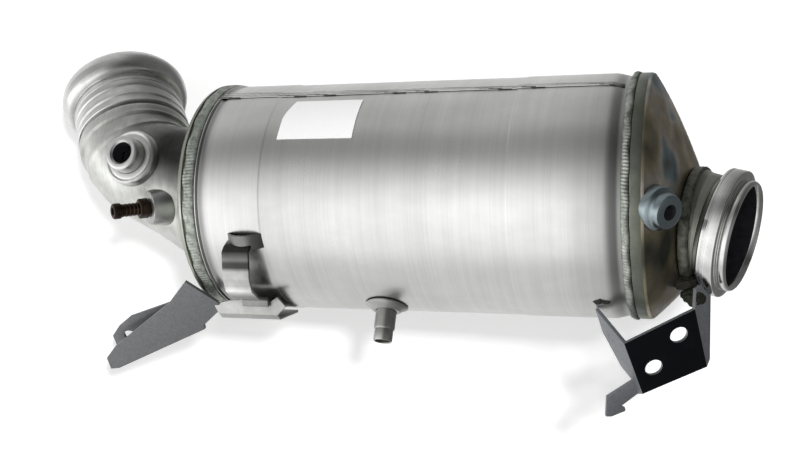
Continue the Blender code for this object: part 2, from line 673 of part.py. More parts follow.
def build_outlet_bracket():
    """Folded bracket under the outlet: a web with two bolt holes, two wings and a locating tongue."""
    up = WEB_FACING.cross(WEB_ALONG).normalized()
    frame = Matrix((WEB_ALONG, up, WEB_FACING)).transposed().to_4x4()
    frame.translation = web_centre()
    half = WEB_WIDTH / 2
    high = WEB_HEIGHT / 2
    low = half - WEB_TAPER / 2

    def left(y, z):
        return (-(half + low) / 2 - (half - low) * y / WEB_HEIGHT + z * WING_SPLAY, y, z)

    right_top = (half, high, 0)
    right_bottom = (low, -high, 0)
    left_top = left(high - WEB_SLOPE, 0)
    web = [left(-high, 0), right_bottom, right_top, left_top]
    wing_reach = high + 0.0150
    tongue_top = left(-high * 0.67, -TONGUE_BACK)
    tongue_bottom = left(-high * 1.19, -TONGUE_BACK)
    left_wing = [left_top, left(wing_reach, -WING_DEPTH + 0.0020), left(high - 0.0060, -WING_DEPTH),
                 left(-high * 0.35, -WING_WIDTH), tongue_top, tongue_bottom, left(-high, 0)]
    right_wing = [right_bottom, (low + 0.0045, -high + 0.0010, -0.0045),
                  (half + 0.0195, high + 0.0060, -0.0150), (half + 0.0060, high + 0.0100, -0.0062), right_top]
    tongue = [tongue_bottom, tongue_top, (-low - 0.0220, -0.0212, -TONGUE_BACK),
              (-low - 0.0267, -0.0365, -TONGUE_BACK), (-low - 0.0232, -0.0384, -TONGUE_BACK),
              (-low - 0.0132, -0.0386, -TONGUE_BACK), (-low - 0.0126, -0.0365, -TONGUE_BACK),
              (-low - 0.0152, -0.0333, -TONGUE_BACK)]
    made = folded_sheet("outlet_bracket", [web, left_wing, right_wing, tongue], BRACKET_SHEET, DARK, frame)
    cut(made, bpy.data.objects["shell_clearance"])
    neck = [(centre, aim, radius + SHEET) for centre, aim, radius in neck_rings()]
    cut(made, loft_cutter("neck_clearance", neck, GAP, PIPE_SIDES))
    cut(made, bore_cutter("flange_clearance", FLANGE_RADIUS + GAP, 0.0, FLANGE_LENGTH + GAP, flange_frame(),
                          PIPE_SIDES))
    for n, (x, y) in enumerate((HOLE_UPPER, HOLE_LOWER)):
        place = frame @ Matrix.Translation((x, y, 0))
        cut(made, bore_cutter(f"bolt_hole_{n + 1}_cutter", BOLT_HOLE, -0.02, 0.02, place))


def build_inlet_bracket(foot_room, skirt_room):
    """Folded channel at the inlet end: a long front flange, a floor and a rear ear with its hole."""
    down = ARM_FACING.cross(ARM_ALONG).normalized()
    frame = Matrix((ARM_ALONG, down, ARM_FACING)).transposed().to_4x4()
    frame.translation = Vector((ARM_START, -foot_front() - ARM_OUT, -foot_base() + ARM_UP))
    floor_near = (0.0560, 0.0185)
    floor_far = (0.1270, 0.0090)
    front = [(0.0005, -0.0155), (0.0300, -0.0097), (0.1090, -0.0072), (0.1270, -0.0038), (0.1345, 0.0055),
             floor_far, floor_near, (0.0262, 0.0225), (0.0235, 0.0195), (0.0010, 0.0170), (-0.0050, 0.0120)]
    rear = [floor_far, floor_near, (0.0560, -0.0030), (0.0970, -0.0125), (0.1160, -0.0118),
            (0.1290, -0.0088), (0.1350, -0.0010), (0.1345, 0.0055)]
    back = -ARM_DEPTH
    faces = [[(x, y, 0.0) for x, y in front],
             [(*floor_far, 0.0), (*floor_near, 0.0), (*floor_near, back), (*floor_far, back)],
             [(x, y, back) for x, y in rear]]
    made = folded_sheet("inlet_bracket", faces, BRACKET_SHEET, DARK, frame)
    cut(made, foot_room)
    cut(made, skirt_room)
    place = frame @ Matrix.Translation((*ARM_HOLE, back))
    cut(made, bore_cutter("arm_hole_cutter", BOLT_HOLE + 0.0004, -0.01, 0.01, place))


def foot_front():
    return CAN_RADIUS - FOOT_INSET


def foot_top():
    return CAN_RADIUS - FOOT_TOP_INSET


def foot_base():
    return CAN_RADIUS - FOOT_BASE_INSET


def foot_faces(grow=0.0):
    """The foot plate's faces: its clipped front, the bend below it, and the floor under the can."""
    front = -foot_front()
    base = -foot_base()
    top = -foot_top()
    seat = -CAN_RADIUS - 2 * GAP
    start = FOOT_START - grow
    end = start + FOOT_WIDTH
    left = start + 0.0040
    right = end - FOOT_CLIP
    face = [(left, base), (right, base), (end, base + FOOT_CLIP), (right, top + 0.0012),
            (right - 0.0080, base + 0.0080), (FOOT_SPLIT + 0.0050, base + 0.0070), (FOOT_SPLIT, base + 0.0065),
            (FOOT_SPLIT - 0.0035, top - 0.0012), (start + 0.0130, top - 0.0022 + grow),
            (start, base + 0.0070 + grow)]
    return [[(x, front, z) for x, z in face],
            [(left, front, base), (right, front, base), (right, front + 0.0050, seat + 0.0006),
             (left, front + 0.0050, seat + 0.0006)],
            [(left, front + 0.0050, seat + 0.0006), (right, front + 0.0050, seat + 0.0006),
             (right, FOOT_BACK, seat), (left, FOOT_BACK, seat)]]


def build_foot_plate():
    """Folded plate under the can that carries the inlet bracket and the hose clip."""
    plate = folded_sheet("foot_plate", foot_faces(), CLIP_SHEET, STEEL)
    cut(plate, skirt_clearance())
    return as_cutter(folded_sheet("foot_clearance", foot_faces(3 * GAP), CLIP_SHEET + 2 * GAP, STEEL, offset=-0.77))


def skirt_clearance():
    """Room for the skirt and its weld bead under the foot plate and the bracket."""
    rim = skirt_radius()
    bead = CAN_RADIUS + GAP + BEAD_HEIGHT
    reach = SKIRT_LENGTH + BEAD_WIDTH + 2 * GAP
    return loft_cutter("skirt_clearance", [(Vector((-0.001, 0, 0)), X_AXIS, max(rim, bead)),
                                           (Vector((reach, 0, 0)), X_AXIS, max(rim, bead))], GAP, CAN_SIDES)


def build_hose_clip():
    """Strap that stands off the can, from the foot plate's front up to its own bent top."""
    frame = Matrix.Translation((CLIP_START, 0, 0))
    front = -CAN_RADIUS - CLIP_STANDOFF
    foot = -foot_front() - CLIP_SHEET - GAP
    top = -foot_top()
    strap = [(foot, top - 0.0055), (foot, top), (front + 0.0140, top + 0.0030),
             (front + 0.0035, -CLIP_KNEE), (front, -CLIP_KNEE + 0.0090), (front, -CLIP_TOP),
             (front + 0.0030, -CLIP_TOP + 0.0030), (-CAN_RADIUS + 0.0035, -CLIP_TOP + 0.0065)]
    made = bent_strip("hose_clip_strap", strap, CLIP_WIDTH, CLIP_SHEET, STEEL, frame, offset=0.0)
    cut(made, bpy.data.objects["shell_clearance"])


def build_part():
    build_shell()
    build_bricks()
    build_inlet()
    build_outlet()
    build_stub()
    build_label()
    build_outlet_bracket()
    foot_room = build_foot_plate()
    build_inlet_bracket(foot_room, bpy.data.objects["skirt_clearance"])
    build_hose_clip()


clear_scene()
ROOT = make_root()
BRUSHED = material("brushed_stainless", (0.56, 0.56, 0.56), 0.38, 1.0)
OLIVE = material("heat_stained_stainless", (0.33, 0.33, 0.29), 0.50, 1.0)
CAST = material("cast_stainless", (0.42, 0.42, 0.42), 0.50, 1.0)
STEEL = material("plain_steel", (0.50, 0.50, 0.50), 0.45, 1.0)
WELD = material("weld_metal", (0.30, 0.31, 0.29), 0.50, 1.0)
POLISHED = material("machined_stainless", (0.66, 0.66, 0.66), 0.22, 1.0)
ZINC = material("zinc_plated_steel", (0.45, 0.52, 0.56), 0.35, 1.0)
COPPER = material("coppered_steel", (0.28, 0.16, 0.10), 0.45, 1.0)
DARK = material("dark_steel_sheet", (0.10, 0.10, 0.11), 0.50, 1.0)
CERAMIC = material("brick_ceramic", (0.30, 0.26, 0.21), 0.90, 0.0)
FIBRE = material("fibre_mat", (0.75, 0.72, 0.66), 0.95, 0.0)
PAPER = material("label_paper", (0.86, 0.86, 0.86), 0.60, 0.0)
build_part()
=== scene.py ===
"""Looks for the diesel particulate filter: detailed metal pieces, their finishes, the stage and the camera.

Every piece is in the row frame, in metres: +X along the can to the outlet, -Y to the side seen, +Z up.
"""
import math

import bmesh
import bpy
from bpy.props import FloatProperty, FloatVectorProperty, PointerProperty, StringProperty
from mathutils import Matrix, Vector


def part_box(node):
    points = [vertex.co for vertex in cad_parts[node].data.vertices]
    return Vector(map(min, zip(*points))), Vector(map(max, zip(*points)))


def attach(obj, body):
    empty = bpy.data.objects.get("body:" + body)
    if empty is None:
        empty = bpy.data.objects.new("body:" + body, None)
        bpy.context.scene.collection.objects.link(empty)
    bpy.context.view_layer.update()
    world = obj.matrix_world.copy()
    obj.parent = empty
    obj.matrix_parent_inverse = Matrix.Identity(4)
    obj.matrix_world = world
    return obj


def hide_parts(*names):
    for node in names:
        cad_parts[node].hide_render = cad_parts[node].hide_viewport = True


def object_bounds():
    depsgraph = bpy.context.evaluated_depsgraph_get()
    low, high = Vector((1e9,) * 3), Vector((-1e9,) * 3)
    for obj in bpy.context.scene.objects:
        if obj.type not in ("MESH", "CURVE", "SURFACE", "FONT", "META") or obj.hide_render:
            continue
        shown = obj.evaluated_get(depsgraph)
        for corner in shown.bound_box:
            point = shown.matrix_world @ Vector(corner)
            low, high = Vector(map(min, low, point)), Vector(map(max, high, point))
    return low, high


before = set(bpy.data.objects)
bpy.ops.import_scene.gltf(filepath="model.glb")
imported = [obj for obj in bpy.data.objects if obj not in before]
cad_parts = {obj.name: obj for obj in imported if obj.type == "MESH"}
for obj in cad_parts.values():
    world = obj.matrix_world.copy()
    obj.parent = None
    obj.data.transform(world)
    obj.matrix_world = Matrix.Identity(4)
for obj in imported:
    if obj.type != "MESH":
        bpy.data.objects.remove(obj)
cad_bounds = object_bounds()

bl_info = {
    "name": "Diesel particulate filter",
    "version": (1, 0, 0),
    "blender": (4, 5, 0),
    "location": "View3D > Sidebar > Filter",
    "description": "Builds the welded exhaust filter's visible pieces around its packed solids",
    "category": "Object",
}

X_AXIS = Vector((1.0, 0.0, 0.0))
GAP = 0.0003
BEAD_WIDTH = 0.0042

# Points of the can are counted from the inlet rim's edge, on the can's axis.
RIM_LOW, RIM_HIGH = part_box("inlet_rim_weld")
CAN_ORIGIN = (RIM_LOW + RIM_HIGH) / 2
CAN_ORIGIN.x = RIM_LOW.x - 0.0100

FUNNEL_MOUTH = Vector((-0.0400, -0.0120, 0.0110))
FUNNEL_AIM = Vector((-0.87, -0.09, 0.48)).normalized()
ELBOW_STRAIGHT = 0.0110
ELBOW_CORNER = 0.0220
ELBOW_END = Vector((-0.0850, 0.0, 0.0440))
INLET_AIM = Vector((-0.477, 0.524, 0.706)).normalized()
NECK_GROOVE = 0.0028
NECK_GROOVE_RADIUS = 0.0392
LIP_LENGTH = 0.0065
LIP_STEP = 0.0018
BOSS_AIM = Vector((-0.05, -0.92, 0.34)).normalized()
BOSS_RADIUS = 0.0130
BOSS_BORE = 0.0072
BOSS_HEIGHT = 0.0105
BOSS_PAD_RADIUS = 0.0205
BOSS_PAD_HEIGHT = 0.0030
FITTING_SEAT = FUNNEL_MOUTH + Vector((-0.0031, -0.0432, -0.0140))
FITTING_AIM = Vector((-0.63, -0.77, -0.03)).normalized()
FITTING_BORE = 0.0030
FITTING_PAD_RADIUS = 0.0125
OUTLET_AIM = Vector((0.948, -0.252, -0.195)).normalized()
OUTLET_LEAN = math.radians(3.0)
OUTLET_YAW = math.radians(11.0)
WEB_FACING = Vector((0.461, -0.811, -0.360)).normalized()
DOME_BOSS_AIM = Vector((0.75, -0.61, -0.20)).normalized()
DOME_BOSS_BORE = 0.0038
DOME_BOSS_RADIUS = 0.0108
DOME_BOSS_BASE = 0.0138
DOME_BOSS_HEIGHT = 0.0100
STUB_AT = 0.1315
STUB_ANGLE = math.radians(152.5)
STUB_RADIUS = 0.0073
STUB_BORE = 0.0052
STUB_BASE_RADIUS = 0.0152


def metres(name, description, default):
    return FloatProperty(name=name, description=description, default=default, unit="LENGTH")


def colour_of(name, description, default):
    return StringProperty(name=name, description=description, default=default)


class CanSizes(bpy.types.PropertyGroup):
    """The rolled can, its seam and the welds round its rims."""
    radius: metres("Can radius", "Outside radius of the rolled can", 0.0825)
    length: metres("Rim to rim", "Length between the two rims' edges", 0.3108)
    skirt: metres("Skirt length", "How far each end housing overlaps the can", 0.0097)
    sheet: metres("Sheet", "Thickness of the can and of its end housings", 0.0015)
    sized_from: metres("Sized from", "Where the middle pressed onto the brick starts", 0.0570)
    sized_length: metres("Sized length", "Length of the middle pressed onto the brick", 0.1700)
    sized_depth: metres("Sized depth", "How far the middle is pressed in", 0.0005)
    necking: metres("Necking", "How far the can closes in at the outlet rim", 0.0020)
    seam_angle: FloatProperty(name="Seam angle", description="The seam's turn from the top towards -Y",
                              default=math.radians(24.5), subtype="ANGLE")
    seam_width: metres("Seam width", "Width of the lap at the inlet rim", 0.0074)
    seam_end_width: metres("Seam end width", "Width of the lap at the outlet rim", 0.0034)


class InletSizes(bpy.types.PropertyGroup):
    """The inlet housing, its neck and its bell."""
    pipe_radius: metres("Bend radius", "Outside radius of the bend", 0.0410)
    neck_radius: metres("Neck radius", "Outside radius of the turned neck", 0.0430)
    neck_length: metres("Neck length", "Length of the turned neck", 0.0330)
    bell_radius: metres("Bell radius", "Largest radius of the bell", 0.0487)
    bell_length: metres("Bell length", "Length of the bell", 0.0190)


class OutletSizes(bpy.types.PropertyGroup):
    """The outlet dome, its neck and its clamp flange."""
    dome_height: metres("Dome height", "From the rim to the dome's mouth", 0.0240)
    drop: metres("Drop", "How far the mouth lies below the can's axis", 0.0204)
    mouth_radius: metres("Mouth radius", "Radius of the dome's mouth", 0.0396)
    collar_radius: metres("Collar radius", "Radius of the collar welded to the mouth", 0.0404)
    collar_length: metres("Collar length", "Length of the collar", 0.0072)
    neck_radius: metres("Neck radius", "Radius of the neck at the flange", 0.0362)
    neck_length: metres("Neck length", "From the mouth to the flange", 0.0134)
    flange_radius: metres("Flange radius", "Radius of the clamp flange's band", 0.0424)
    flange_band: metres("Flange band", "From the neck to the end of the flange's band", 0.0152)
    flange_length: metres("Flange length", "From the neck to the end of the flange's lip", 0.0214)
    bore: metres("Bore", "Radius of the outlet's opening", 0.0325)


class FinishColours(bpy.types.PropertyGroup):
    """Colours of the finishes, as sRGB hex."""
    can: colour_of("Can", "Brushed stainless of the can", "D6D6D4")
    housing: colour_of("Housings", "Stainless dulled by heat", "CFD0CC")
    cast: colour_of("Neck and bosses", "Turned stainless", "DCDCDB")
    machined: colour_of("Clamp flange", "Machined stainless", "D8D8D6")
    weld: colour_of("Weld", "Weld metal", "B7BCB4")
    zinc: colour_of("Zinc", "Blue zinc plating", "8D999C")
    copper: colour_of("Coppered steel", "Dark coppered fitting", "4A3D34")
    plate: colour_of("Plates", "Bright rolled plate", "B4B4B2")
    bracket: colour_of("Outlet bracket", "Dark sheet of the outlet bracket", "7C7E82")
    arm: colour_of("Inlet bracket", "Grey sheet of the inlet bracket", "77787A")
    label: colour_of("Label", "Blank label", "F4F4F4")


class StageSettings(bpy.types.PropertyGroup):
    """Backdrop, lamp and camera."""
    backdrop_gap: metres("Backdrop gap", "Room between the part and the backdrop", 0.004)
    key: FloatProperty(name="Key light", description="Power of the lamp near the camera", default=11.0, min=0.0)
    lens: FloatProperty(name="Lens", description="Focal length for a 36 mm wide picture", default=48.69)
    eye: FloatVectorProperty(name="Camera place", description="Where the camera stands",
                             default=(0.0537, -0.7052, 0.1637), subtype="TRANSLATION", unit="LENGTH")


def settings(group):
    """One group of settings: can, inlet, outlet, colours or stage."""
    return getattr(bpy.context.scene, "filter_" + group)


# ---- colour and node helpers ----

def linear(hex_colour):
    """An sRGB hex colour as linear RGBA."""
    values = [int(hex_colour[i:i + 2], 16) / 255 for i in (0, 2, 4)]
    return tuple(v / 12.92 if v <= 0.04045 else ((v + 0.055) / 1.055) ** 2.4 for v in values) + (1.0,)


def add_node(tree, kind, values=None, out=0, **links):
    """Adds a node, sets its properties and inputs, links outputs or hex colours to inputs, and gives its output."""
    node = tree.nodes.new("ShaderNode" + kind)
    for key, value in (values or {}).items():
        if isinstance(key, str) and hasattr(node, key):
            setattr(node, key, value)
        else:
            node.inputs[key].default_value = value
    for key, source in links.items():
        socket = node.inputs[int(key[1:]) if key[1:].isdigit() else key]
        if isinstance(source, str):
            socket.default_value = linear(source)
        else:
            tree.links.new(source, socket)
    return node.outputs[out]


def ramp(tree, factor, stops):
    """A colour ramp from stops of a place and a hex colour, or a grey's level."""
    colour = add_node(tree, "ValToRGB", i0=factor)
    elements = colour.node.color_ramp.elements
    while len(elements) < len(stops):
        elements.new(0.5)
    for element, (place, shown) in zip(elements, stops):
        element.position = place
        element.color = linear(shown) if isinstance(shown, str) else (shown, shown, shown, 1.0)
    return colour


def new_material(name, metallic, roughness, shine=0.5):
    """A material with a Principled shader, its tree, and the Object coordinates for its patterns."""
    made = bpy.data.materials.new(name)
    made.use_nodes = True
    inputs = made.node_tree.nodes["Principled BSDF"].inputs
    inputs["Metallic"].default_value = metallic
    inputs["Roughness"].default_value = roughness
    inputs["Specular IOR Level"].default_value = shine
    return made, made.node_tree, add_node(made.node_tree, "TexCoord", out="Object")


def finished(made, colour, roughness=None, height=None, depth=0.0):
    """Links a material's colour and, where given, its roughness and its bump, whose height is depth."""
    tree = made.node_tree
    inputs = tree.nodes["Principled BSDF"].inputs
    tree.links.new(colour, inputs["Base Color"])
    if roughness is not None:
        tree.links.new(roughness, inputs["Roughness"])
    if height is not None:
        tree.links.new(add_node(tree, "Bump", {"Distance": depth, "Strength": 1.0}, Height=height), inputs["Normal"])
    return made


def turned_place(tree, place, aim, centre):
    """Coordinates measured from centre, with X along aim."""
    swap = Matrix(((0, 0, 1, 0), (1, 0, 0, 0), (0, 1, 0, 0), (0, 0, 0, 1)))
    location, rotation, _ = (swap @ aimed(centre, aim).inverted()).decompose()
    return add_node(tree, "Mapping", {"Location": location, "Rotation": rotation.to_euler()}, i0=place)


def grain(tree, place, scale, detail=3.0, rough=0.6):
    """Noise with scale grains to the metre, the same each way or one number for each axis."""
    scale = scale if isinstance(scale, tuple) else (scale, scale, scale)
    mapped = add_node(tree, "Mapping", {"Scale": scale}, i0=place)
    return add_node(tree, "TexNoise", {"Scale": 1.0, "Detail": detail, "Roughness": rough}, Vector=mapped)


def spread(tree, factor, low, high, start=0.3, end=0.7):
    """Maps a factor onto low to high. Noise lies mostly between 0.3 and 0.7."""
    return add_node(tree, "MapRange", {1: start, 2: end, 3: low, 4: high}, i0=factor)


def multiply(tree, colour, factor):
    return add_node(tree, "Mix", {"data_type": "RGBA", "blend_type": "MULTIPLY", 0: 1.0}, 2, i6=colour, i7=factor)


def shade(tree, colour, factor, low, high):
    """Darkens or lightens a colour by noise that is spread from low to high."""
    return multiply(tree, colour, spread(tree, factor, low, high))


def blend(tree, factor, first, second):
    return add_node(tree, "Mix", {"data_type": "RGBA"}, 2, i0=factor, i6=first, i7=second)


def along_can(tree, place):
    """How far a point lies along the can from the inlet rim's edge."""
    x = add_node(tree, "SeparateXYZ", i0=place)
    return add_node(tree, "Math", {"operation": "SUBTRACT", 1: CAN_ORIGIN.x}, i0=x)


def painted_dark_band(tree, along, centre, width, depth):
    """A factor for painted shade that dips by depth at centre along the can and comes back to 1 over width."""
    away = add_node(tree, "Math", {"operation": "SUBTRACT", 1: centre}, i0=along)
    share = add_node(tree, "Math", {"operation": "DIVIDE", 1: width}, i0=away)
    square = add_node(tree, "Math", {"operation": "MULTIPLY"}, i0=share, i1=share)
    power = add_node(tree, "Math", {"operation": "MULTIPLY", 1: -1.0}, i0=square)
    bell = add_node(tree, "Math", {"operation": "EXPONENT"}, i0=power)
    return spread(tree, bell, 1.0, 1.0 - depth, 0.0, 1.0)


# ---- finishes ----

def brushed_stainless():
    # Cold-rolled stainless sheet, belt-brushed round the can: fine hoops of lighter and darker metal,
    # with long soft smudges from handling. Real brush lines are under 0.1 mm, so they are drawn at 0.5 mm.
    made, tree, place = new_material("brushed_rolled_stainless", 1.0, 0.34)
    hoops = grain(tree, place, (1600.0, 9.0, 9.0), 2.0, 0.7)
    smudges = grain(tree, place, (22.0, 34.0, 34.0), 4.0, 0.65)
    colour = shade(tree, settings("colours").can, hoops, 0.95, 1.04)
    colour = shade(tree, colour, grain(tree, place, (160.0, 4.0, 4.0), 2.0, 0.5), 0.96, 1.03)
    colour = shade(tree, colour, smudges, 0.93, 1.03)
    # Painted shade and painted dark reflection in a band beside each rim weld.
    for centre, width, depth in ((0.0135, 0.0034, 0.55), (0.2936, 0.0052, 0.52)):
        colour = multiply(tree, colour, painted_dark_band(tree, along_can(tree, place), centre, width, depth))
    return finished(made, colour, spread(tree, smudges, 0.33, 0.26), hoops, 0.00003)


def painted_inside_shade(name):
    # Painted shade for the inside of a hole, pipe or hook: near-black over steel, with a faint mottle.
    made, tree, place = new_material(name, 0.0, 0.85, 0.2)
    return finished(made, shade(tree, "17171A", grain(tree, place, 200.0, 4.0), 0.5, 1.2))


def heat_dulled_stainless():
    # Pressed stainless sheet after heat: a dull grey oxide, mottled over 5 to 20 mm, with drawing marks. It is
    # stained olive beside the rim, and painted shade darkens the crease where the wall turns into the bend.
    made, tree, place = new_material("pressed_stainless_dulled_by_heat", 1.0, 0.42)
    mottle = grain(tree, place, 70.0, 5.0)
    colour = shade(tree, settings("colours").housing, mottle, 0.80, 1.12)
    colour = shade(tree, colour, grain(tree, place, (700.0, 20.0, 20.0)), 0.90, 1.06)
    near_rim = spread(tree, along_can(tree, place), 0.0, 1.0, -0.030, -0.002)
    stain = add_node(tree, "Math", {"operation": "MULTIPLY"}, i0=near_rim,
                     i1=spread(tree, grain(tree, place, 16.0, 3.0, 0.5), 0.35, 1.0))
    # Painted shade: the colour darkens towards a point in the crease between the wall and the bend.
    crease_shade = add_node(tree, "VectorMath", {"operation": "DISTANCE", 1: in_can((-0.026, -0.036, 0.040))}, "Value",
                      i0=place)
    colour = multiply(tree, blend(tree, stain, colour, "8B9080"), spread(tree, crease_shade, 0.14, 1.0, 0.014, 0.046))
    return finished(made, colour, spread(tree, mottle, 0.50, 0.34), mottle, 0.0002)


def heat_tinted_stainless():
    # Pressed stainless near the welds: straw, brown and blue oxide films where it grew hot, and soot between.
    made, tree, place = new_material("pressed_stainless_with_heat_tints", 1.0, 0.36)
    patches = grain(tree, place, (26.0, 17.0, 19.0), 2.0, 0.5)
    mottle = grain(tree, place, (90.0, 60.0, 60.0), 5.0, 0.65)
    tint = ramp(tree, spread(tree, patches, 0.0, 1.0),
                [(0.0, "4A4C46"), (0.20, "8C8670"), (0.40, "B4A88E"), (0.55, "C8C2BA"), (0.68, "7F979C"),
                 (0.84, "6B675E"), (1.0, "4A4A44")])
    return finished(made, shade(tree, tint, mottle, 0.72, 1.15), spread(tree, mottle, 0.46, 0.30), mottle, 0.0002)


def turned_stainless(name, aim, centre, colour, roughness, line_scale=1500.0):
    # Stainless turned on a lathe: tool marks run round the axis, drawn at 0.5 mm, over a slightly mottled grey.
    made, tree, place = new_material(name, 1.0, roughness)
    lines = grain(tree, turned_place(tree, place, aim, centre), (line_scale, 12.0, 12.0), 2.0)
    mottle = grain(tree, place, 80.0, 4.0)
    tone = shade(tree, shade(tree, colour, lines, 0.84, 1.08), mottle, 0.86, 1.08)
    return finished(made, tone, spread(tree, mottle, roughness + 0.06, roughness - 0.05), lines, 0.00004)


def rippled_weld():
    # Bead of a robot's weld: ripples are in the mesh, and the metal between is a mottled green-grey oxide.
    made, tree, place = new_material("stainless_weld_metal", 1.0, 0.44)
    pits = grain(tree, place, (300.0, 240.0, 240.0), 5.0, 0.7)
    colour = blend(tree, spread(tree, pits, -0.25, 0.9), settings("colours").weld, "6C7068")
    return finished(made, shade(tree, colour, grain(tree, place, (60.0, 40.0, 40.0), 2.0, 0.5), 0.82, 1.08),
                    None, pits, 0.00025)


def pitted_metal(name, metallic, roughness, scale, light, dark, depth):
    """Rough metal that is mottled from light to dark, with pits of depth."""
    made, tree, place = new_material(name, metallic, roughness)
    pits = grain(tree, place, scale, 5.0, 0.7)
    return finished(made, blend(tree, spread(tree, pits, 0.0, 1.0), light, dark), None, pits, depth)


def rough_collar():
    # The collar of weld metal at the outlet dome's mouth: rough, mottled grey-olive with dark pits.
    return pitted_metal("rough_welded_collar", 1.0, 0.52, 210.0, "8F9187", "3E3F39", 0.0006)


def weld_with_painted_shade():
    # Hand weld where a bracket meets the housing: lumpy metal, near-black, part scale and part painted shade of the
    # dark hollow under the outlet collar.
    return pitted_metal("hand_weld_with_painted_shade", 0.6, 0.6, 330.0, "151511", "3C3C35", 0.0006)


def lap_step_shade():
    # Painted shade on the step of the lap: a dark grey line where the step between the two sheets falls into shade.
    made, tree, place = new_material("painted_shade_on_the_lap_step", 1.0, 0.5)
    patches = grain(tree, place, (90.0, 200.0, 200.0), 4.0, 0.65)
    return finished(made, blend(tree, spread(tree, patches, 0.0, 1.0), "55565A", "8E8F91"))


def plated_steel(name, colour, roughness, worn):
    # Plated or rolled mild steel: an even metal with fine specks, duller where it is handled.
    made, tree, place = new_material(name, 1.0, roughness)
    specks = grain(tree, place, 420.0)
    wear = grain(tree, place, 60.0, 4.0)
    tone = blend(tree, spread(tree, wear, 0.0, 0.5), shade(tree, colour, specks, 0.92, 1.05), worn)
    return finished(made, tone, spread(tree, wear, roughness - 0.06, roughness + 0.10), specks, 0.00005)


def folded_strap():
    # Folded steel strap: grey rolled metal with painted light in bands by height: a painted highlight on the fold and
    # painted shade under its hooked top.
    made, tree, place = new_material("folded_steel_strap", 1.0, 0.42)
    low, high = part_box("hose_clip_strap")
    height = spread(tree, add_node(tree, "SeparateXYZ", out=2, i0=place), 0.0, 1.0, low.z, high.z)
    # Painted light: the near-white band is a painted highlight and the dark bands are painted shade.
    bands = ramp(tree, height,
                 [(0.0, "8E8E8C"), (0.20, "9A9A98"), (0.30, "FAFAF8"), (0.38, "C0C0BE"), (0.58, "B8B8B6"),
                  (0.64, "4A4A48"), (0.70, "4A4A48"), (0.75, "7C7C7A"), (0.84, "4A4A48"), (0.95, "3E3E3C"),
                  (1.0, "A8A8A6")])
    return finished(made, shade(tree, bands, grain(tree, place, 90.0, 4.0), 0.8, 1.1))


def dark_sheet(name, colour, light, metallic, roughness, shine=0.5):
    # Hot-rolled sheet under a thin dark coat: satin, with scuffs that show lighter metal. Given near-black, it is also
    # the painted shade of the outlet bracket's web.
    made, tree, place = new_material(name, metallic, roughness, shine)
    scuffs = grain(tree, place, (150.0, 40.0, 150.0), 6.0, 0.75)
    specks = grain(tree, place, 500.0, 2.0, 0.5)
    tone = blend(tree, spread(tree, scuffs, 0.0, 0.5, 0.58, 0.78), shade(tree, colour, specks, 0.88, 1.10), light)
    return finished(made, tone, spread(tree, scuffs, roughness - 0.05, roughness + 0.12), specks, 0.00006)


def blank_paper():
    # Coated label paper: nearly white, with a faint fibre tone and a soft gloss.
    made, tree, place = new_material("coated_label_paper", 0.0, 0.45)
    fibres = grain(tree, place, 600.0)
    return finished(made, shade(tree, settings("colours").label, fibres, 0.975, 1.0), None, fibres, 0.00002)


def porous_ceramic():
    # Extruded silicon carbide brick: grey-brown, with square channels 1.5 mm apart on its ends.
    made, tree, place = new_material("extruded_ceramic_brick", 0.0, 0.9)
    channels = add_node(tree, "Mapping", {"Scale": (1.0, 660.0, 660.0)}, i0=place)
    return finished(made, add_node(tree, "TexChecker", {"Scale": 1.0}, Vector=channels, Color1="6A6258",
                                   Color2="3F3A34"))


def fibre_mat():
    # Pressed ceramic fibre mat: soft off-white with tangled fibres.
    made, tree, place = new_material("ceramic_fibre_mat", 0.0, 0.95)
    fibres = grain(tree, place, (300.0, 900.0, 900.0), 4.0, 0.7)
    return finished(made, shade(tree, "E2DED4", fibres, 0.85, 1.0), None, fibres, 0.0003)


# ---- modelling helpers ----

def aimed(origin, aim, hint=Vector((0.0, 1.0, 0.0))):
    """A frame at origin whose Z runs along aim and whose X leans towards hint."""
    z = aim.normalized()
    x = (hint - z * hint.dot(z)).normalized()
    turned = Matrix((x, z.cross(x), z)).transposed().to_4x4()
    turned.translation = origin
    return turned


def in_can(point):
    """A point of the can in the row frame."""
    return CAN_ORIGIN + Vector(point)


def bezier(points, t):
    while len(points) > 1:
        points = [a.lerp(b, t) for a, b in zip(points, points[1:])]
    return points[0]


def select_only(piece):
    bpy.ops.object.select_all(action="DESELECT")
    piece.select_set(True)
    bpy.context.view_layer.objects.active = piece


def new_piece(name):
    """The primitive just added, renamed and with its place in its mesh."""
    piece = bpy.context.object
    piece.name = name
    select_only(piece)
    bpy.ops.object.transform_apply(location=True, rotation=True, scale=True)
    return piece


def add_circle(radius, place, sides):
    bpy.ops.mesh.primitive_circle_add(vertices=sides, radius=radius, location=place.to_translation(),
                                      rotation=place.to_euler())


def start_circle(name, radius, place, sides):
    """Adds a circle as a new object and enters edit mode."""
    add_circle(radius, place, sides)
    piece = new_piece(name)
    bpy.ops.object.mode_set(mode="EDIT")
    bpy.ops.mesh.select_mode(type="EDGE")
    bpy.ops.mesh.select_all(action="SELECT")
    return piece


def end_edit():
    """Points the faces outwards and leaves edit mode."""
    bpy.ops.mesh.select_all(action="SELECT")
    bpy.ops.mesh.normals_make_consistent(inside=False)
    bpy.ops.object.mode_set(mode="OBJECT")


def corners(radius, height, *steps):
    """Corners of a turned outline: steps of (out, up) in millimetres from a radius and a height in metres."""
    return [(radius + out / 1000, height + up / 1000) for out, up in steps]


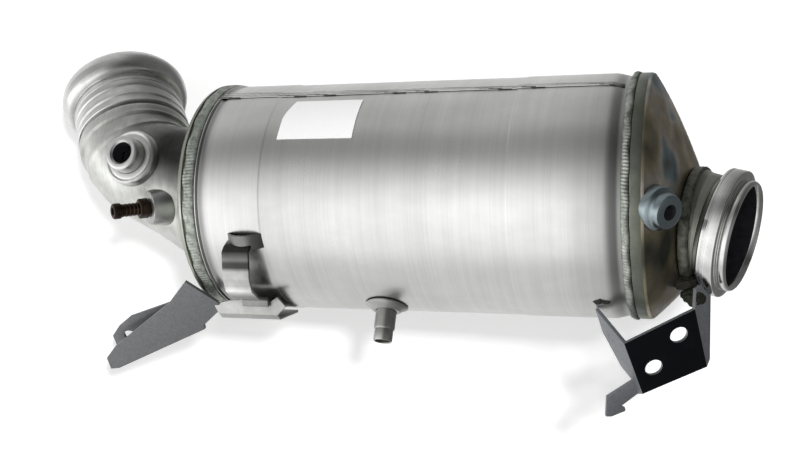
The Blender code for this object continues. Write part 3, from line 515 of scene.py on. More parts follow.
def turned_piece(name, profile, place, sides):
    """Turns a closed outline of (radius, height) points: one loop is extruded and scaled along Z."""
    radius, height = profile[0]
    piece = start_circle(name, radius, Matrix.Translation((0, 0, height)), sides)
    for next_radius, next_height in profile[1:]:
        bpy.ops.mesh.extrude_edges_move(TRANSFORM_OT_translate={"value": (0, 0, next_height - height)})
        scale = next_radius / radius
        bpy.ops.transform.resize(value=(scale, scale, 1.0), center_override=(0, 0, next_height))
        radius, height = next_radius, next_height
    bpy.ops.mesh.select_all(action="DESELECT")
    bpy.ops.mesh.select_non_manifold()
    bpy.ops.mesh.bridge_edge_loops()
    end_edit()
    piece.matrix_world = place
    bpy.ops.object.transform_apply(location=True, rotation=True, scale=True)
    return piece


def loft(name, rings, sides, capped=False):
    """A skin through rings of (centre, aim, radius), with closed ends where it cuts another piece."""
    centre, aim, radius = rings[0]
    piece = start_circle(name, radius, aimed(centre, aim), sides)
    if capped:
        bpy.ops.mesh.edge_face_add()
    for centre, aim, radius in rings[1:]:
        add_circle(radius, aimed(centre, aim), sides)
    if capped:
        bpy.ops.mesh.edge_face_add()
    for n in range(len(rings) - 1):
        mesh = bmesh.from_edit_mesh(piece.data)
        for edge in mesh.edges:
            ends = [vert.index // sides for vert in edge.verts]
            edge.select_set(ends[0] == ends[1] and ends[0] in (n, n + 1))
        mesh.select_flush_mode()
        bmesh.update_edit_mesh(piece.data)
        bpy.ops.mesh.bridge_edge_loops()
    end_edit()
    return piece


def lofted_wall(name, rings, wall):
    """A thin wall through rings, whose thickness lies inside them."""
    piece = loft(name, rings, 120)
    face = piece.data.polygons[0]
    if (face.center - rings[0][0]).dot(face.normal) < 0:
        bpy.ops.object.mode_set(mode="EDIT")
        bpy.ops.mesh.flip_normals()
        bpy.ops.object.mode_set(mode="OBJECT")
    add_wall(piece, wall).use_even_offset = True
    apply_modifiers(piece)
    return piece


def add_wall(piece, thickness):
    wall = piece.modifiers.new("wall", "SOLIDIFY")
    wall.thickness = thickness
    wall.offset = -1.0
    return wall


def apply_modifiers(piece):
    select_only(piece)
    for modifier in list(piece.modifiers):
        bpy.ops.object.modifier_apply(modifier=modifier.name)


def round_edges(piece, width, segments, angle=30.0):
    rounding = piece.modifiers.new("edges", "BEVEL")
    rounding.width = width
    rounding.segments = segments
    rounding.limit_method = "ANGLE"
    rounding.angle_limit = math.radians(angle)
    apply_modifiers(piece)


def copied_node(node, name, bevel=0.0, angle=30.0):
    """A merged copy of a CAD node with its sharp edges rounded."""
    piece = bpy.data.objects.new(name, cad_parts[node].data.copy())
    bpy.context.scene.collection.objects.link(piece)
    select_only(piece)
    bpy.ops.object.mode_set(mode="EDIT")
    bpy.ops.mesh.select_all(action="SELECT")
    bpy.ops.mesh.remove_doubles(threshold=1e-6)
    bpy.ops.mesh.dissolve_limited(angle_limit=math.radians(1.0))
    bpy.ops.object.mode_set(mode="OBJECT")
    if bevel:
        round_edges(piece, bevel, 3, angle)
    return piece


def cut_away(piece, cutter):
    """Takes a cutter's shape out of a piece, and removes the cutter."""
    boolean = piece.modifiers.new("cut", "BOOLEAN")
    boolean.operation = "DIFFERENCE"
    boolean.solver = "EXACT"
    boolean.use_hole_tolerant = True
    boolean.object = cutter
    apply_modifiers(piece)
    bpy.data.objects.remove(cutter)


def round_bar(radius, start, end, place, sides=48):
    """A plain bar that cuts a hole."""
    middle = place @ Matrix.Translation((0, 0, (start + end) / 2))
    bpy.ops.mesh.primitive_cylinder_add(vertices=sides, radius=radius, depth=end - start,
                                        location=middle.to_translation(), rotation=middle.to_euler())
    return bpy.context.object


def finish_piece(piece, finish, node, angle=35.0):
    """Shades a piece, gives it its finish, and lets it stand for its CAD node."""
    select_only(piece)
    bpy.ops.object.shade_smooth_by_angle(angle=math.radians(angle))
    piece.data.materials.clear()
    piece.data.materials.append(finish)
    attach(piece, "root")
    if node:
        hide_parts(node)


def second_finish(piece, finish, chosen):
    """Gives another finish to the faces that chosen picks."""
    piece.data.materials.append(finish)
    place = len(piece.data.materials) - 1
    for face in piece.data.polygons:
        if chosen(face):
            face.material_index = place


def facing_in(centre, aim, radius=1.0):
    """Picks the faces within radius of an axis that look towards it."""
    def chosen(face):
        out = face.center - centre
        out -= aim * out.dot(aim)
        return out.length < radius and face.normal.dot(out) < -0.3 * out.length
    return chosen


def shade_the_inside(piece, name, place, radius):
    """Gives near-black painted shade to the faces within radius of a frame's Z axis that look towards it."""
    second_finish(piece, painted_inside_shade(name), facing_in(place.to_translation(), place.to_3x3().col[2], radius))


def ring_bead(name, radius, start, towards, width, height, seed, foot=0.0):
    """A weld bead round the can: its outline rides up and down with the ripples of the weld pool.

    A foot is how far the bead's far side reaches down past its seat, as a share of its height.
    """
    outline = [(0.0, 0.0), (0.30, 0.0), (0.66, 0.0), (0.67, -foot), (1.0, -foot), (0.99, 0.10), (0.90, 0.40),
               (0.74, 0.76), (0.58, 0.90), (0.42, 0.97), (0.28, 0.95), (0.14, 0.88), (0.0, 0.50)]
    ripples = 230
    seat = radius + GAP
    profile = [(seat + high * height, towards * along * width) for along, high in outline]
    bead = turned_piece(name, profile, aimed(in_can((start, 0, 0)), X_AXIS), ripples * 4)
    for vert in bead.data.vertices:
        offset = vert.co - CAN_ORIGIN - X_AXIS * start
        out = Vector((0.0, offset.y, offset.z))
        turn = math.atan2(offset.z, offset.y)
        lift = max(0.0, (out.length - seat) / height)
        slow = 0.10 * math.sin(7 * turn + seed) + 0.08 * math.sin(17 * turn + 2.1 * seed)
        wave = 0.16 * math.sin(ripples * turn + 2.4 * (abs(offset.x) / width) ** 2)
        vert.co += out.normalized() * height * lift * (wave + slow)
        vert.co.x += towards * width * lift * 0.12 * math.sin(23 * turn + seed)
    return bead


def weld_lump(name, start, end, radius, finish, seed):
    """A rough run of weld metal from start to end, with lumps a third of its radius high."""
    start, end = Vector(start), Vector(end)
    bpy.ops.mesh.primitive_uv_sphere_add(segments=48, ring_count=48, radius=1.0)
    lump = new_piece(name)
    place = aimed((start + end) / 2, end - start)
    for vert in lump.data.vertices:
        x, y, z = vert.co
        bulge = 1 + 0.16 * math.sin(5 * z + 3 * x + seed) + 0.12 * math.sin(9 * y - 7 * z + 2 * seed)
        bulge += 0.08 * math.sin(17 * x + 13 * z + seed)
        vert.co = place @ Vector((x * radius * bulge, y * radius * bulge, z * (end - start).length / 2))
    finish_piece(lump, finish, None, 60.0)


def threaded_bore(bore, top, bottom, pitch=0.0015, depth=0.0007):
    """Points down a threaded hole, from its mouth: each turn is a crest and a root."""
    points = []
    height = top
    while height - pitch > bottom:
        points += [(bore, height), (bore + depth, height - pitch / 2)]
        height -= pitch
    return points + [(bore, height)]


# ---- outlines and places shared by more than one piece ----

def in_row(rings, grow=0.0):
    """Rings of the can in the row frame, and wider by grow."""
    return [(in_can(centre), aim, radius + grow) for centre, aim, radius in rings]


def housing_rings(grow=0.0):
    """The inlet housing: skirt, rounded rim, steep wall, bend, and the neck's lip with the ridge below it."""
    can = settings("can")
    pipe = settings("inlet").pipe_radius
    rim = can.radius + GAP + can.sheet
    rings = [(Vector((along, 0, 0)), -X_AXIS, rim - lower)
             for along, lower in ((0.0062, 0.0014), (0.0012, 0.0014), (0.0008, 0.0019), (0.0004, 0.0019))]
    shoulder = 0.0055
    for n in range(9):
        turn = math.radians(8.0 + 8.0 * n)
        rings.append((Vector((0.0004 - shoulder * math.sin(turn), 0, 0)), -X_AXIS,
                      rim - 0.0002 - shoulder * (1 - math.cos(turn))))
    curve = [Vector(), -X_AXIS * 0.0070, FUNNEL_MOUTH - FUNNEL_AIM * 0.0200, FUNNEL_MOUTH]
    shares = ((0.0, 1.0), (0.08, 0.86), (0.18, 0.66), (0.30, 0.46), (0.44, 0.285), (0.60, 0.145), (0.78, 0.045),
              (0.94, 0.0))
    for n in range(8, 25):
        t = 0.94 * n / 24
        for (t0, s0), (t1, s1) in zip(shares, shares[1:]):
            if t0 <= t <= t1:
                share = s0 + (s1 - s0) * (t - t0) / (t1 - t0)
        rings.append((bezier(curve, t), (-X_AXIS).lerp(FUNNEL_AIM, t).normalized(), pipe + (rim - pipe) * share))
    straight = FUNNEL_MOUTH + FUNNEL_AIM * ELBOW_STRAIGHT
    end = ELBOW_END - INLET_AIM * (LIP_LENGTH + NECK_GROOVE / 2)
    bend = [straight, straight + FUNNEL_AIM * ELBOW_CORNER * 0.35, end - INLET_AIM * ELBOW_CORNER, end]
    for t in [n / 12 for n in range(9)] + [0.70, 0.73, 0.76, 0.79, 0.82, 0.85, 0.88, 0.91]:
        aim = FUNNEL_AIM.lerp(INLET_AIM, t * t * (3 - 2 * t)).normalized()
        ridge = 0.0008 * math.exp(-((t - 0.765) / 0.030) ** 2)
        rings.append((bezier(bend, t), aim, pipe + ridge))
    for along, radius in ((-0.0027, 0.0), (-0.0023, 0.0007), (-0.0015, LIP_STEP), (0.0010, LIP_STEP - 0.0002),
                          (0.0030, LIP_STEP + 0.0002), (LIP_LENGTH - 0.0006, LIP_STEP),
                          (LIP_LENGTH, LIP_STEP - 0.0005)):
        rings.append((end + INLET_AIM * along, INLET_AIM, pipe + radius))
    return in_row(rings, grow)


def boss_place():
    """Where the bend's sensor boss stands, with its height along Z."""
    return aimed(in_can(FUNNEL_MOUTH + FUNNEL_AIM * (ELBOW_STRAIGHT + 0.0060)), BOSS_AIM)


def dome_boss_place():
    """Where the outlet dome's sensor boss stands, with its height along Z."""
    can = settings("can")
    return aimed(in_can((can.length + 0.0080, -0.89 * can.radius, -0.0010)), DOME_BOSS_AIM)


def dome_mouth():
    out = settings("outlet")
    return Vector((settings("can").length + out.dome_height, 0.0, -out.drop))


def yawed(aim, share):
    """An aim turned towards -Y by a share of the mouth's yaw."""
    return Matrix.Rotation(-OUTLET_YAW * share, 3, "Z") @ aim


def mouth_aim():
    return yawed(Vector((math.cos(OUTLET_LEAN), 0.0, -math.sin(OUTLET_LEAN))), 1.0)


def dome_rings(grow=0.0):
    """Skirt and rounded rim, then circles between the dome's crown line and its keel line."""
    can = settings("can")
    out = settings("outlet")
    rim = can.radius + GAP + can.sheet - can.necking
    end = can.length
    across = Vector((math.sin(OUTLET_LEAN), 0.0, math.cos(OUTLET_LEAN)))
    mouth = dome_mouth()
    rings = [(Vector((end - can.skirt + 0.0017, 0, 0)), X_AXIS, rim - 0.0002),
             (Vector((end - can.skirt + 0.0025, 0, 0)), X_AXIS, rim), (Vector((end - 0.0014, 0, 0)), X_AXIS, rim)]
    crown = [Vector((end, 0, rim)), Vector((end + 0.0138, 0, rim - 0.0208)), mouth + across * out.mouth_radius]
    keel = [Vector((end, 0, -rim)), Vector((end + 0.0120, 0, -rim + 0.0105)), mouth - across * out.mouth_radius]
    for n in range(18):
        t = 0.015 + 0.985 * n / 17
        high = bezier(crown, t)
        low = bezier(keel, t)
        aim = Vector((high.z - low.z, 0.0, low.x - high.x)).normalized()
        rings.append(((high + low) / 2, yawed(aim, t * t), (high - low).length / 2))
    return in_row(rings, grow)


def outlet_end():
    """Where the neck meets the flange."""
    return dome_mouth() + mouth_aim().lerp(OUTLET_AIM, 0.4).normalized() * settings("outlet").neck_length


def neck_rings():
    """The collar that is welded to the dome's mouth, and the neck that turns from it to the flange."""
    out = settings("outlet")
    aim = mouth_aim()
    start = dome_mouth() + aim * GAP
    rings = [(start + aim * along, aim, out.collar_radius - lower) for along, lower in
             ((0.0, 0.0012), (0.0005, 0.0004), (0.0014, 0.0001), (0.0026, 0.0002), (0.0038, 0.0), (0.0050, 0.0002),
              (0.0060, 0.0), (0.0068, 0.0006))]
    shoulder = start + aim * out.collar_length
    narrow = out.neck_radius + 0.0010
    rings.append((shoulder, aim, (out.collar_radius + narrow) / 2 - 0.0004))
    end = outlet_end()
    middle = shoulder.lerp(end, 0.5) + aim * 0.0003
    for n in range(1, 9):
        t = 0.2 + 0.8 * n / 8
        rings.append((bezier([shoulder, middle, end], t), aim.lerp(OUTLET_AIM, t).normalized(),
                      narrow + (out.neck_radius - narrow) * t))
    return in_row(rings)


# ---- operators ----

class FILTER_OT_can(bpy.types.Operator):
    """The rolled can with its sized middle, and the lap of its sheet"""
    bl_idname = "filter_part.can"
    bl_label = "Can"

    def execute(self, context):
        can = settings("can")
        finish = brushed_stainless()
        out, end, step = can.radius, can.length, can.sized_depth
        sized_to = can.sized_from + can.sized_length
        lap = can.skirt + GAP + BEAD_WIDTH + 0.0012
        # A small lip and a shallow dip beside the inlet weld, the pressed-in middle, and the narrowed outlet end.
        outside = corners(out, 0, (-0.6, 7.8), (-0.3, 9.2), (0.6, 9.5), (0.7, 10.1), (0.3, 10.8), (-0.4, 11.6),
                          (-0.7, 13.0), (-0.6, 14.5), (-0.2, 16.2), (0, 18.0))
        outside += [(out, can.sized_from - 0.0006), (out - 0.4 * step, can.sized_from + 0.0002),
                    (out - step, can.sized_from + 0.0012), (out - step, sized_to - 0.0012),
                    (out - 0.4 * step, sized_to - 0.0002), (out, sized_to + 0.0006)]
        outside += [(out - share * can.necking, end - lap - run) for share, run in
                    ((0.0, 0.0085), (0.35, 0.0050), (0.85, 0.0015), (1.0, 0.0))]
        outside.append((out - can.necking, end - 0.0040))
        wall = can.sheet + 0.0005
        inside = [(radius - wall, along) for radius, along in reversed(outside)]
        skin = turned_piece("can_skin", outside + inside, aimed(CAN_ORIGIN, X_AXIS), 192)
        finish_piece(skin, finish, "canister_shell", 25.0)
        self.seam(can, finish)
        return {"FINISHED"}

    def seam(self, can, finish):
        """The lap: a low strip that narrows towards the outlet, with painted shade on the step at each side."""
        start, end = can.skirt + 0.0004, can.length - can.skirt - 0.0060
        rows = 24
        bpy.ops.mesh.primitive_grid_add(x_subdivisions=90, y_subdivisions=rows, size=1.0)
        strip = new_piece("lap_seam")
        for vert in strip.data.vertices:
            along = start + (vert.co.x + 0.5) * (end - start)
            side = vert.co.y * 2
            share = min(1.0, along / (0.55 * can.length))
            half = (can.seam_width + (can.seam_end_width - can.seam_width) * share) / 2
            edge = min(1.0, (1 - abs(side)) * 6)
            lift = 0.00002 + 0.00042 * edge - 0.00022 * max(0.0, 1 - abs(side) * 2.4)
            ease = min(1.0, (along - start) / 0.004, (end - along) / 0.004)
            sized = can.sized_from < along < can.sized_from + can.sized_length
            base = can.radius - (can.sized_depth if sized else 0.0)
            run = min(1.0, max(0.0, (along - (can.length - can.skirt - 0.0142)) / 0.0070))
            base -= can.necking * run * run * (3 - 2 * run)
            turn = can.seam_angle + side * half / can.radius
            radius = base + lift * max(0.05, ease)
            vert.co = CAN_ORIGIN + Vector((along, -radius * math.sin(turn), radius * math.cos(turn)))
        finish_piece(strip, finish, None, 40.0)
        # The rows at each step of the lap get painted shade.
        second_finish(strip, lap_step_shade(), lambda face: face.index % (rows - 1) in (2, 3, 4, 18, 19, 20))
        add_wall(strip, 0.0008)
        apply_modifiers(strip)


class FILTER_OT_rim_welds(bpy.types.Operator):
    """The rippled weld beads round the two rims"""
    bl_idname = "filter_part.rim_welds"
    bl_label = "Rim welds"

    def execute(self, context):
        can = settings("can")
        finish = rippled_weld()
        inlet = ring_bead("inlet_rim_bead", can.radius + 0.0003, 0.0010, 1, 0.0082, 0.0011, 1.0, 0.40)
        finish_piece(inlet, finish, "inlet_rim_weld", 60.0)
        outlet = ring_bead("outlet_rim_bead", can.radius - can.necking, can.length - can.skirt + 0.0017 - GAP, -1,
                           0.0054, 0.0020, 2.6)
        finish_piece(outlet, finish, "outlet_rim_weld", 60.0)
        return {"FINISHED"}


class FILTER_OT_inlet_housing(bpy.types.Operator):
    """The inlet housing: steep end wall and bend in one pressed shell"""
    bl_idname = "filter_part.inlet_housing"
    bl_label = "Inlet housing"

    def execute(self, context):
        housing = lofted_wall("inlet_housing", housing_rings(), settings("can").sheet)
        cut_away(housing, round_bar(BOSS_BORE, 0.020, 0.060, boss_place()))
        finish_piece(housing, heat_dulled_stainless(), "inlet_cone", 28.0)
        centres = [centre for centre, _, _ in housing_rings()]

        def inner(face):
            inwards = min((centre - face.center for centre in centres), key=lambda way: way.length_squared)
            return face.normal.dot(inwards) > 0.3 * inwards.length

        # Near-black painted shade on the housing's inner faces.
        second_finish(housing, painted_inside_shade("painted_shade_in_the_housing"), inner)
        return {"FINISHED"}


class FILTER_OT_inlet_neck(bpy.types.Operator):
    """The turned neck and the bell above it"""
    bl_idname = "filter_part.inlet_neck"
    bl_label = "Neck and bell"

    def execute(self, context):
        sizes = settings("inlet")
        finish = turned_stainless("turned_stainless_neck", INLET_AIM, in_can(ELBOW_END), settings("colours").cast,
                                  0.32)
        base = aimed(in_can(ELBOW_END) - INLET_AIM * (NECK_GROOVE / 2 - GAP), INLET_AIM)
        full, groove, top = sizes.neck_radius, NECK_GROOVE_RADIUS, sizes.neck_length
        bore = groove - 0.0020
        seat = sizes.pipe_radius + LIP_STEP - settings("can").sheet - GAP
        profile = [(bore, -0.0040), (seat, -0.0040), (seat, -0.0010), (groove, 0.0), (groove, NECK_GROOVE)]
        profile += corners(full, NECK_GROOVE, (-0.5, 0.3), (0, 0.9))
        profile += corners(full, 0, (0, 7.6), (-0.4, 8.1), (-1.4, 8.8), (-1.4, 10.4), (-0.8, 11.0), (-0.4, 11.5),
                           (-0.4, 17.6), (-0.9, 18.2), (-1.6, 19.0), (-1.6, 20.4), (-1.0, 21.0), (-0.8, 21.5),
                           (-0.8, 25.6), (-1.3, 26.0), (-1.3, 27.0), (-0.8, 27.4), (-0.8, 30.0))
        profile += [(full - 0.0016, top), (bore + 0.0016, top), (bore, top - 0.0030)]
        neck = turned_piece("inlet_neck_turned", profile, base, 128)
        finish_piece(neck, finish, "inlet_neck", 30.0)
        foot = base.to_translation()
        inside = facing_in(foot, INLET_AIM, groove)
        # Near-black painted shade inside the neck and on its underside.
        second_finish(neck, painted_inside_shade("painted_shade_in_the_neck"), lambda face: inside(face) or
                      (face.normal.dot(INLET_AIM) < -0.9 and (face.center - foot).dot(INLET_AIM) < 0.0))
        self.bell(sizes)
        return {"FINISHED"}

    def bell(self, sizes):
        """The spun bell: it swells from its throat and folds back in at its rim."""
        start = sizes.neck_length - NECK_GROOVE / 2 + 2 * GAP
        throat = sizes.neck_radius - 0.0006
        swell = sizes.bell_radius - throat
        last = math.radians(118.0)
        outer = []
        for n in range(23):
            turn = n / 22 * last
            rise = math.sin(min(turn, math.pi / 2)) ** 0.8
            fold = 2.7 * (1 - math.sin(turn)) if turn > math.pi / 2 else 0.0
            outer.append((throat + swell * (rise - fold),
                          sizes.bell_length * (1 - math.cos(turn)) / (1 - math.cos(last))))
        inner = [(radius - 0.0020, height - (0.0008 if height > 0.001 else 0.0)) for radius, height in outer]
        bell = turned_piece("inlet_bell", outer + inner[::-1],
                            aimed(in_can(ELBOW_END) + INLET_AIM * start, INLET_AIM), 144)
        finish = turned_stainless("spun_stainless_bell", INLET_AIM, in_can(ELBOW_END), "E0E0DF", 0.28, 700.0)
        finish_piece(bell, finish, "inlet_flare", 30.0)


class FILTER_OT_sensor_bosses(bpy.types.Operator):
    """The threaded bosses on the bend and on the outlet dome"""
    bl_idname = "filter_part.sensor_bosses"
    bl_label = "Sensor bosses"

    def execute(self, context):
        place = boss_place()
        finish = turned_stainless("turned_stainless_boss", BOSS_AIM, place.to_translation(),
                                  settings("colours").cast, 0.38)
        radius, bore = BOSS_RADIUS, BOSS_BORE
        top = settings("inlet").pipe_radius + BOSS_PAD_HEIGHT
        end = top + BOSS_HEIGHT
        pad = [(radius + GAP, 0.020), (BOSS_PAD_RADIUS, 0.020)]
        pad += corners(BOSS_PAD_RADIUS, top, (0, -2.2), (-0.5, -1.0), (-1.7, -0.2), (-3.3, -0.6), (-4.5, 0))
        pad.append((radius + GAP, top))
        boss = [(bore, 0.022), (radius, 0.022)] + corners(radius, end, (0, -3.0), (-0.3, -1.2), (-1.3, -0.2), (-2.2, 0))
        boss += corners(bore, end, (2.0, 0), (0.7, -1.4))
        boss += threaded_bore(bore, end - 0.0020, 0.030)
        for name, profile, node in (("elbow_pad", pad, "elbow_boss_pad"), ("elbow_boss", boss, "elbow_sensor_boss")):
            piece = turned_piece(name, profile, place, 96)
            cut_away(piece, loft("skin", housing_rings(GAP), 96, True))
            finish_piece(piece, finish, node)
        # Near-black painted shade inside the boss's bore.
        shade_the_inside(piece, "painted_shade_in_the_boss", place, 0.0082)
        self.dome_boss()
        return {"FINISHED"}

    def dome_boss(self):
        """The plated boss, cut off at the dome's skin and at the skirt behind it."""
        bore, radius, base, end = DOME_BOSS_BORE, DOME_BOSS_RADIUS, DOME_BOSS_BASE, DOME_BOSS_HEIGHT
        outline = [(bore, -0.012), (base, -0.012)] + corners(base, 0, (0, 1.8), (-0.4, 2.7), (-2.0, 3.8))
        outline += corners(radius, 0, (0.2, 5.0), (0, 6.2))
        outline += corners(radius, end, (0, -1.4), (-0.4, -0.4), (-1.2, 0)) + corners(bore, end, (1.2, 0), (0.4, -1.0))
        outline += threaded_bore(bore, end - 0.0014, -0.010, 0.0012, 0.0005)
        boss = turned_piece("dome_boss", outline, dome_boss_place(), 96)
        skin = dome_rings(GAP)
        behind = (in_can((settings("can").length / 2, 0, 0)), X_AXIS, skin[0][2])
        cut_away(boss, loft("skin", [behind] + skin, 96, True))
        finish_piece(boss, plated_steel("blue_zinc_plated_boss", settings("colours").zinc, 0.30, "8C9AA2"),
                     "dome_sensor_boss")
        # Near-black painted shade inside the boss's thread.
        shade_the_inside(boss, "painted_shade_in_the_thread", dome_boss_place(), 0.0046)


class FILTER_OT_pressure_fitting(bpy.types.Operator):
    """The pressure tap's pad, nut and ribbed pipe"""
    bl_idname = "filter_part.pressure_fitting"
    bl_label = "Pressure fitting"

    def execute(self, context):
        colours = settings("colours")
        place = aimed(in_can(FITTING_SEAT), FITTING_AIM)
        copper = plated_steel("dark_coppered_steel", colours.copper, 0.40, "2E2520")
        bore, radius = FITTING_BORE, FITTING_PAD_RADIUS
        outline = [(bore, -0.018)] + corners(radius, 0, (2.5, -18.0), (1.3, -8.0), (0.5, -3.0), (0, -1.4), (-0.3, -0.4),
                                             (-1.2, 0)) + [(bore, 0.0)]
        pad = turned_piece("fitting_pad", outline, place, 72)
        cut_away(pad, loft("skin", housing_rings(GAP), 96, True))
        finish_piece(pad, plated_steel("rolled_steel_pad", colours.plate, 0.36, "8D8D8A"), "pressure_pad")
        second_finish(pad, heat_dulled_stainless(), lambda face: face.normal.dot(FITTING_AIM) < 0.5)
        outline = [(bore, GAP), (0.0069, GAP)] + corners(0, 0, (7.3, 0.8), (7.3, 7.0), (6.6, 7.9)) + [(bore, 0.0079)]
        nut = turned_piece("fitting_hexagon", outline, place, 6)
        round_edges(nut, 0.0003, 2)
        finish_piece(nut, copper, "fitting_nut", 30.0)
        outline = [(bore, 0.0082), (0.0047, 0.0082)]
        for n in range(4):
            outline += corners(0, 0.0092 + n * 0.0028, (4.7, 0), (4.3, 0.4), (4.3, 1.0), (4.7, 1.4))
        outline += corners(0, 0, (4.7, 20.4), (5.3, 20.9), (5.7, 21.6), (5.7, 25.4), (5.2, 26.4), (4.2, 26.8))
        outline.append((bore, 0.0265))
        body = turned_piece("fitting_body", outline, place, 64)
        finish_piece(body, copper, "pressure_fitting", 30.0)
        # Near-black painted shade inside the fitting's bore.
        shade_the_inside(body, "painted_shade_in_the_fitting", place, 0.0032)
        return {"FINISHED"}


class FILTER_OT_outlet_dome(bpy.types.Operator):
    """The outlet dome, its weld collar and its neck"""
    bl_idname = "filter_part.outlet_dome"
    bl_label = "Outlet dome"

    def execute(self, context):
        can = settings("can")
        out = settings("outlet")
        dome = lofted_wall("outlet_dome_pressed", dome_rings(), can.sheet)
        cut_away(dome, round_bar(DOME_BOSS_BORE, -0.030, 0.010, dome_boss_place(), 32))
        finish_piece(dome, heat_tinted_stainless(), "outlet_dome", 28.0)
        # Near-black painted shade for the insides of the dome and of its neck.
        bore_shade = painted_inside_shade("painted_shade_in_the_bore")
        skirt_end = in_can((can.length - 0.0006, 0, 0)).x
        second_finish(dome, plated_steel("dull_green_grey_skirt", "74786E", 0.40, "55584F"),
                      lambda face: face.center.x < skirt_end)
        second_finish(dome, bore_shade, facing_in(in_can((can.length, 0, -out.drop / 2)), X_AXIS))
        neck = lofted_wall("outlet_neck_pipe", neck_rings(), can.sheet)
        finish = turned_stainless("drawn_stainless_neck", OUTLET_AIM, in_can(outlet_end()), "96968F", 0.40)
        finish_piece(neck, finish, "outlet_neck", 28.0)
        aim = mouth_aim()
        collar_end = in_can(dome_mouth()) + aim * (out.collar_length + 0.0004)
        second_finish(neck, rough_collar(), lambda face: (face.center - collar_end).dot(aim) < 0)
        second_finish(neck, bore_shade, facing_in(in_can(dome_mouth()), aim))
        return {"FINISHED"}


class FILTER_OT_outlet_flange(bpy.types.Operator):
    """The machined clamp flange round the outlet's opening"""
    bl_idname = "filter_part.outlet_flange"
    bl_label = "Outlet flange"

    def execute(self, context):
        out = settings("outlet")
        place = aimed(in_can(outlet_end()) + OUTLET_AIM * GAP, OUTLET_AIM)
        full, bore, root, band, end = out.flange_radius, out.bore, out.neck_radius, out.flange_band, out.flange_length
        groove, lip = 0.0366, 0.0369
        profile = [(bore, 0.0), (root, 0.0), (root + 0.0006, 0.0006), (root + 0.0012, 0.0013)]
        profile += corners(full, 0, (-1.6, 3.4), (-0.6, 4.0), (0, 4.8), (0, 6.0), (-0.4, 6.3), (-0.4, 6.8), (0, 7.1))
        profile += corners(full, band, (0, -1.4), (-0.3, -0.6), (-1.0, -0.2))
        profile += corners(groove, band, (0.3, 0), (0, 0.3), (0, 1.2), (0.2, 1.6)) + corners(lip, band, (0, 1.8))
        profile += corners(lip, end, (0, -1.8), (-0.4, -0.7), (-1.2, 0))
        profile += corners(bore, end, (2.2, 0), (1.2, -0.8), (0.4, -2.0), (0, -3.4)) + [(bore, 0.0090)]
        flange = turned_piece("clamp_flange", profile, place, 160)
        finish = turned_stainless("machined_stainless_flange", OUTLET_AIM, place.to_translation(),
                                  settings("colours").machined, 0.12, 2200.0)
        finish_piece(flange, finish, "outlet_flange", 30.0)
        # Near-black painted shade inside the outlet's opening.
        shade_the_inside(flange, "painted_shade_in_the_outlet", place, bore + 0.0001)
        return {"FINISHED"}


class FILTER_OT_stub(bpy.types.Operator):
    """The stub pipe under the can and its coned base"""
    bl_idname = "filter_part.stub"
    bl_label = "Stub pipe"

    def execute(self, context):
        can = settings("can")
        place = aimed(in_can((STUB_AT, 0, 0)), Vector((0.0, -math.sin(STUB_ANGLE), math.cos(STUB_ANGLE))))
        shell = can.radius - can.sized_depth
        finish = plated_steel("rolled_steel_stub", settings("colours").plate, 0.32, "8A8A86")
        room = [(in_can((x, 0, 0)), X_AXIS, can.radius + GAP) for x in (0.0, can.length)]
        foot, end = shell - 0.005, shell + 0.0260
        hole = STUB_RADIUS + GAP
        cone = [(hole, foot), (STUB_BASE_RADIUS, foot)]
        cone += corners(STUB_BASE_RADIUS, shell, (0, 0.4), (-0.6, 1.2), (-3.2, 2.4), (-5.2, 4.1), (-6.0, 4.5))
        cone.append((hole, shell + 0.0045))
        tube = [(STUB_BORE, foot), (STUB_RADIUS, foot)]
        tube += corners(STUB_RADIUS, end, (0, -9.5), (-0.2, -8.8), (-0.8, -8.2), (-0.8, -0.6), (-1.2, 0))
        tube += corners(STUB_BORE, end, (0.4, 0), (0, -0.5))
        for name, profile, node in (("stub_cone", cone, "stub_base"), ("stub_tube", tube, "stub_pipe")):
            piece = turned_piece(name, profile, place, 72)
            cut_away(piece, loft("room", room, 192, True))
            finish_piece(piece, finish, node)
        return {"FINISHED"}


class FILTER_OT_label(bpy.types.Operator):
    """The blank label"""
    bl_idname = "filter_part.label"
    bl_label = "Label"

    def execute(self, context):
        finish_piece(copied_node("blank_label", "label_sheet"), blank_paper(), "blank_label", 40.0)
        return {"FINISHED"}


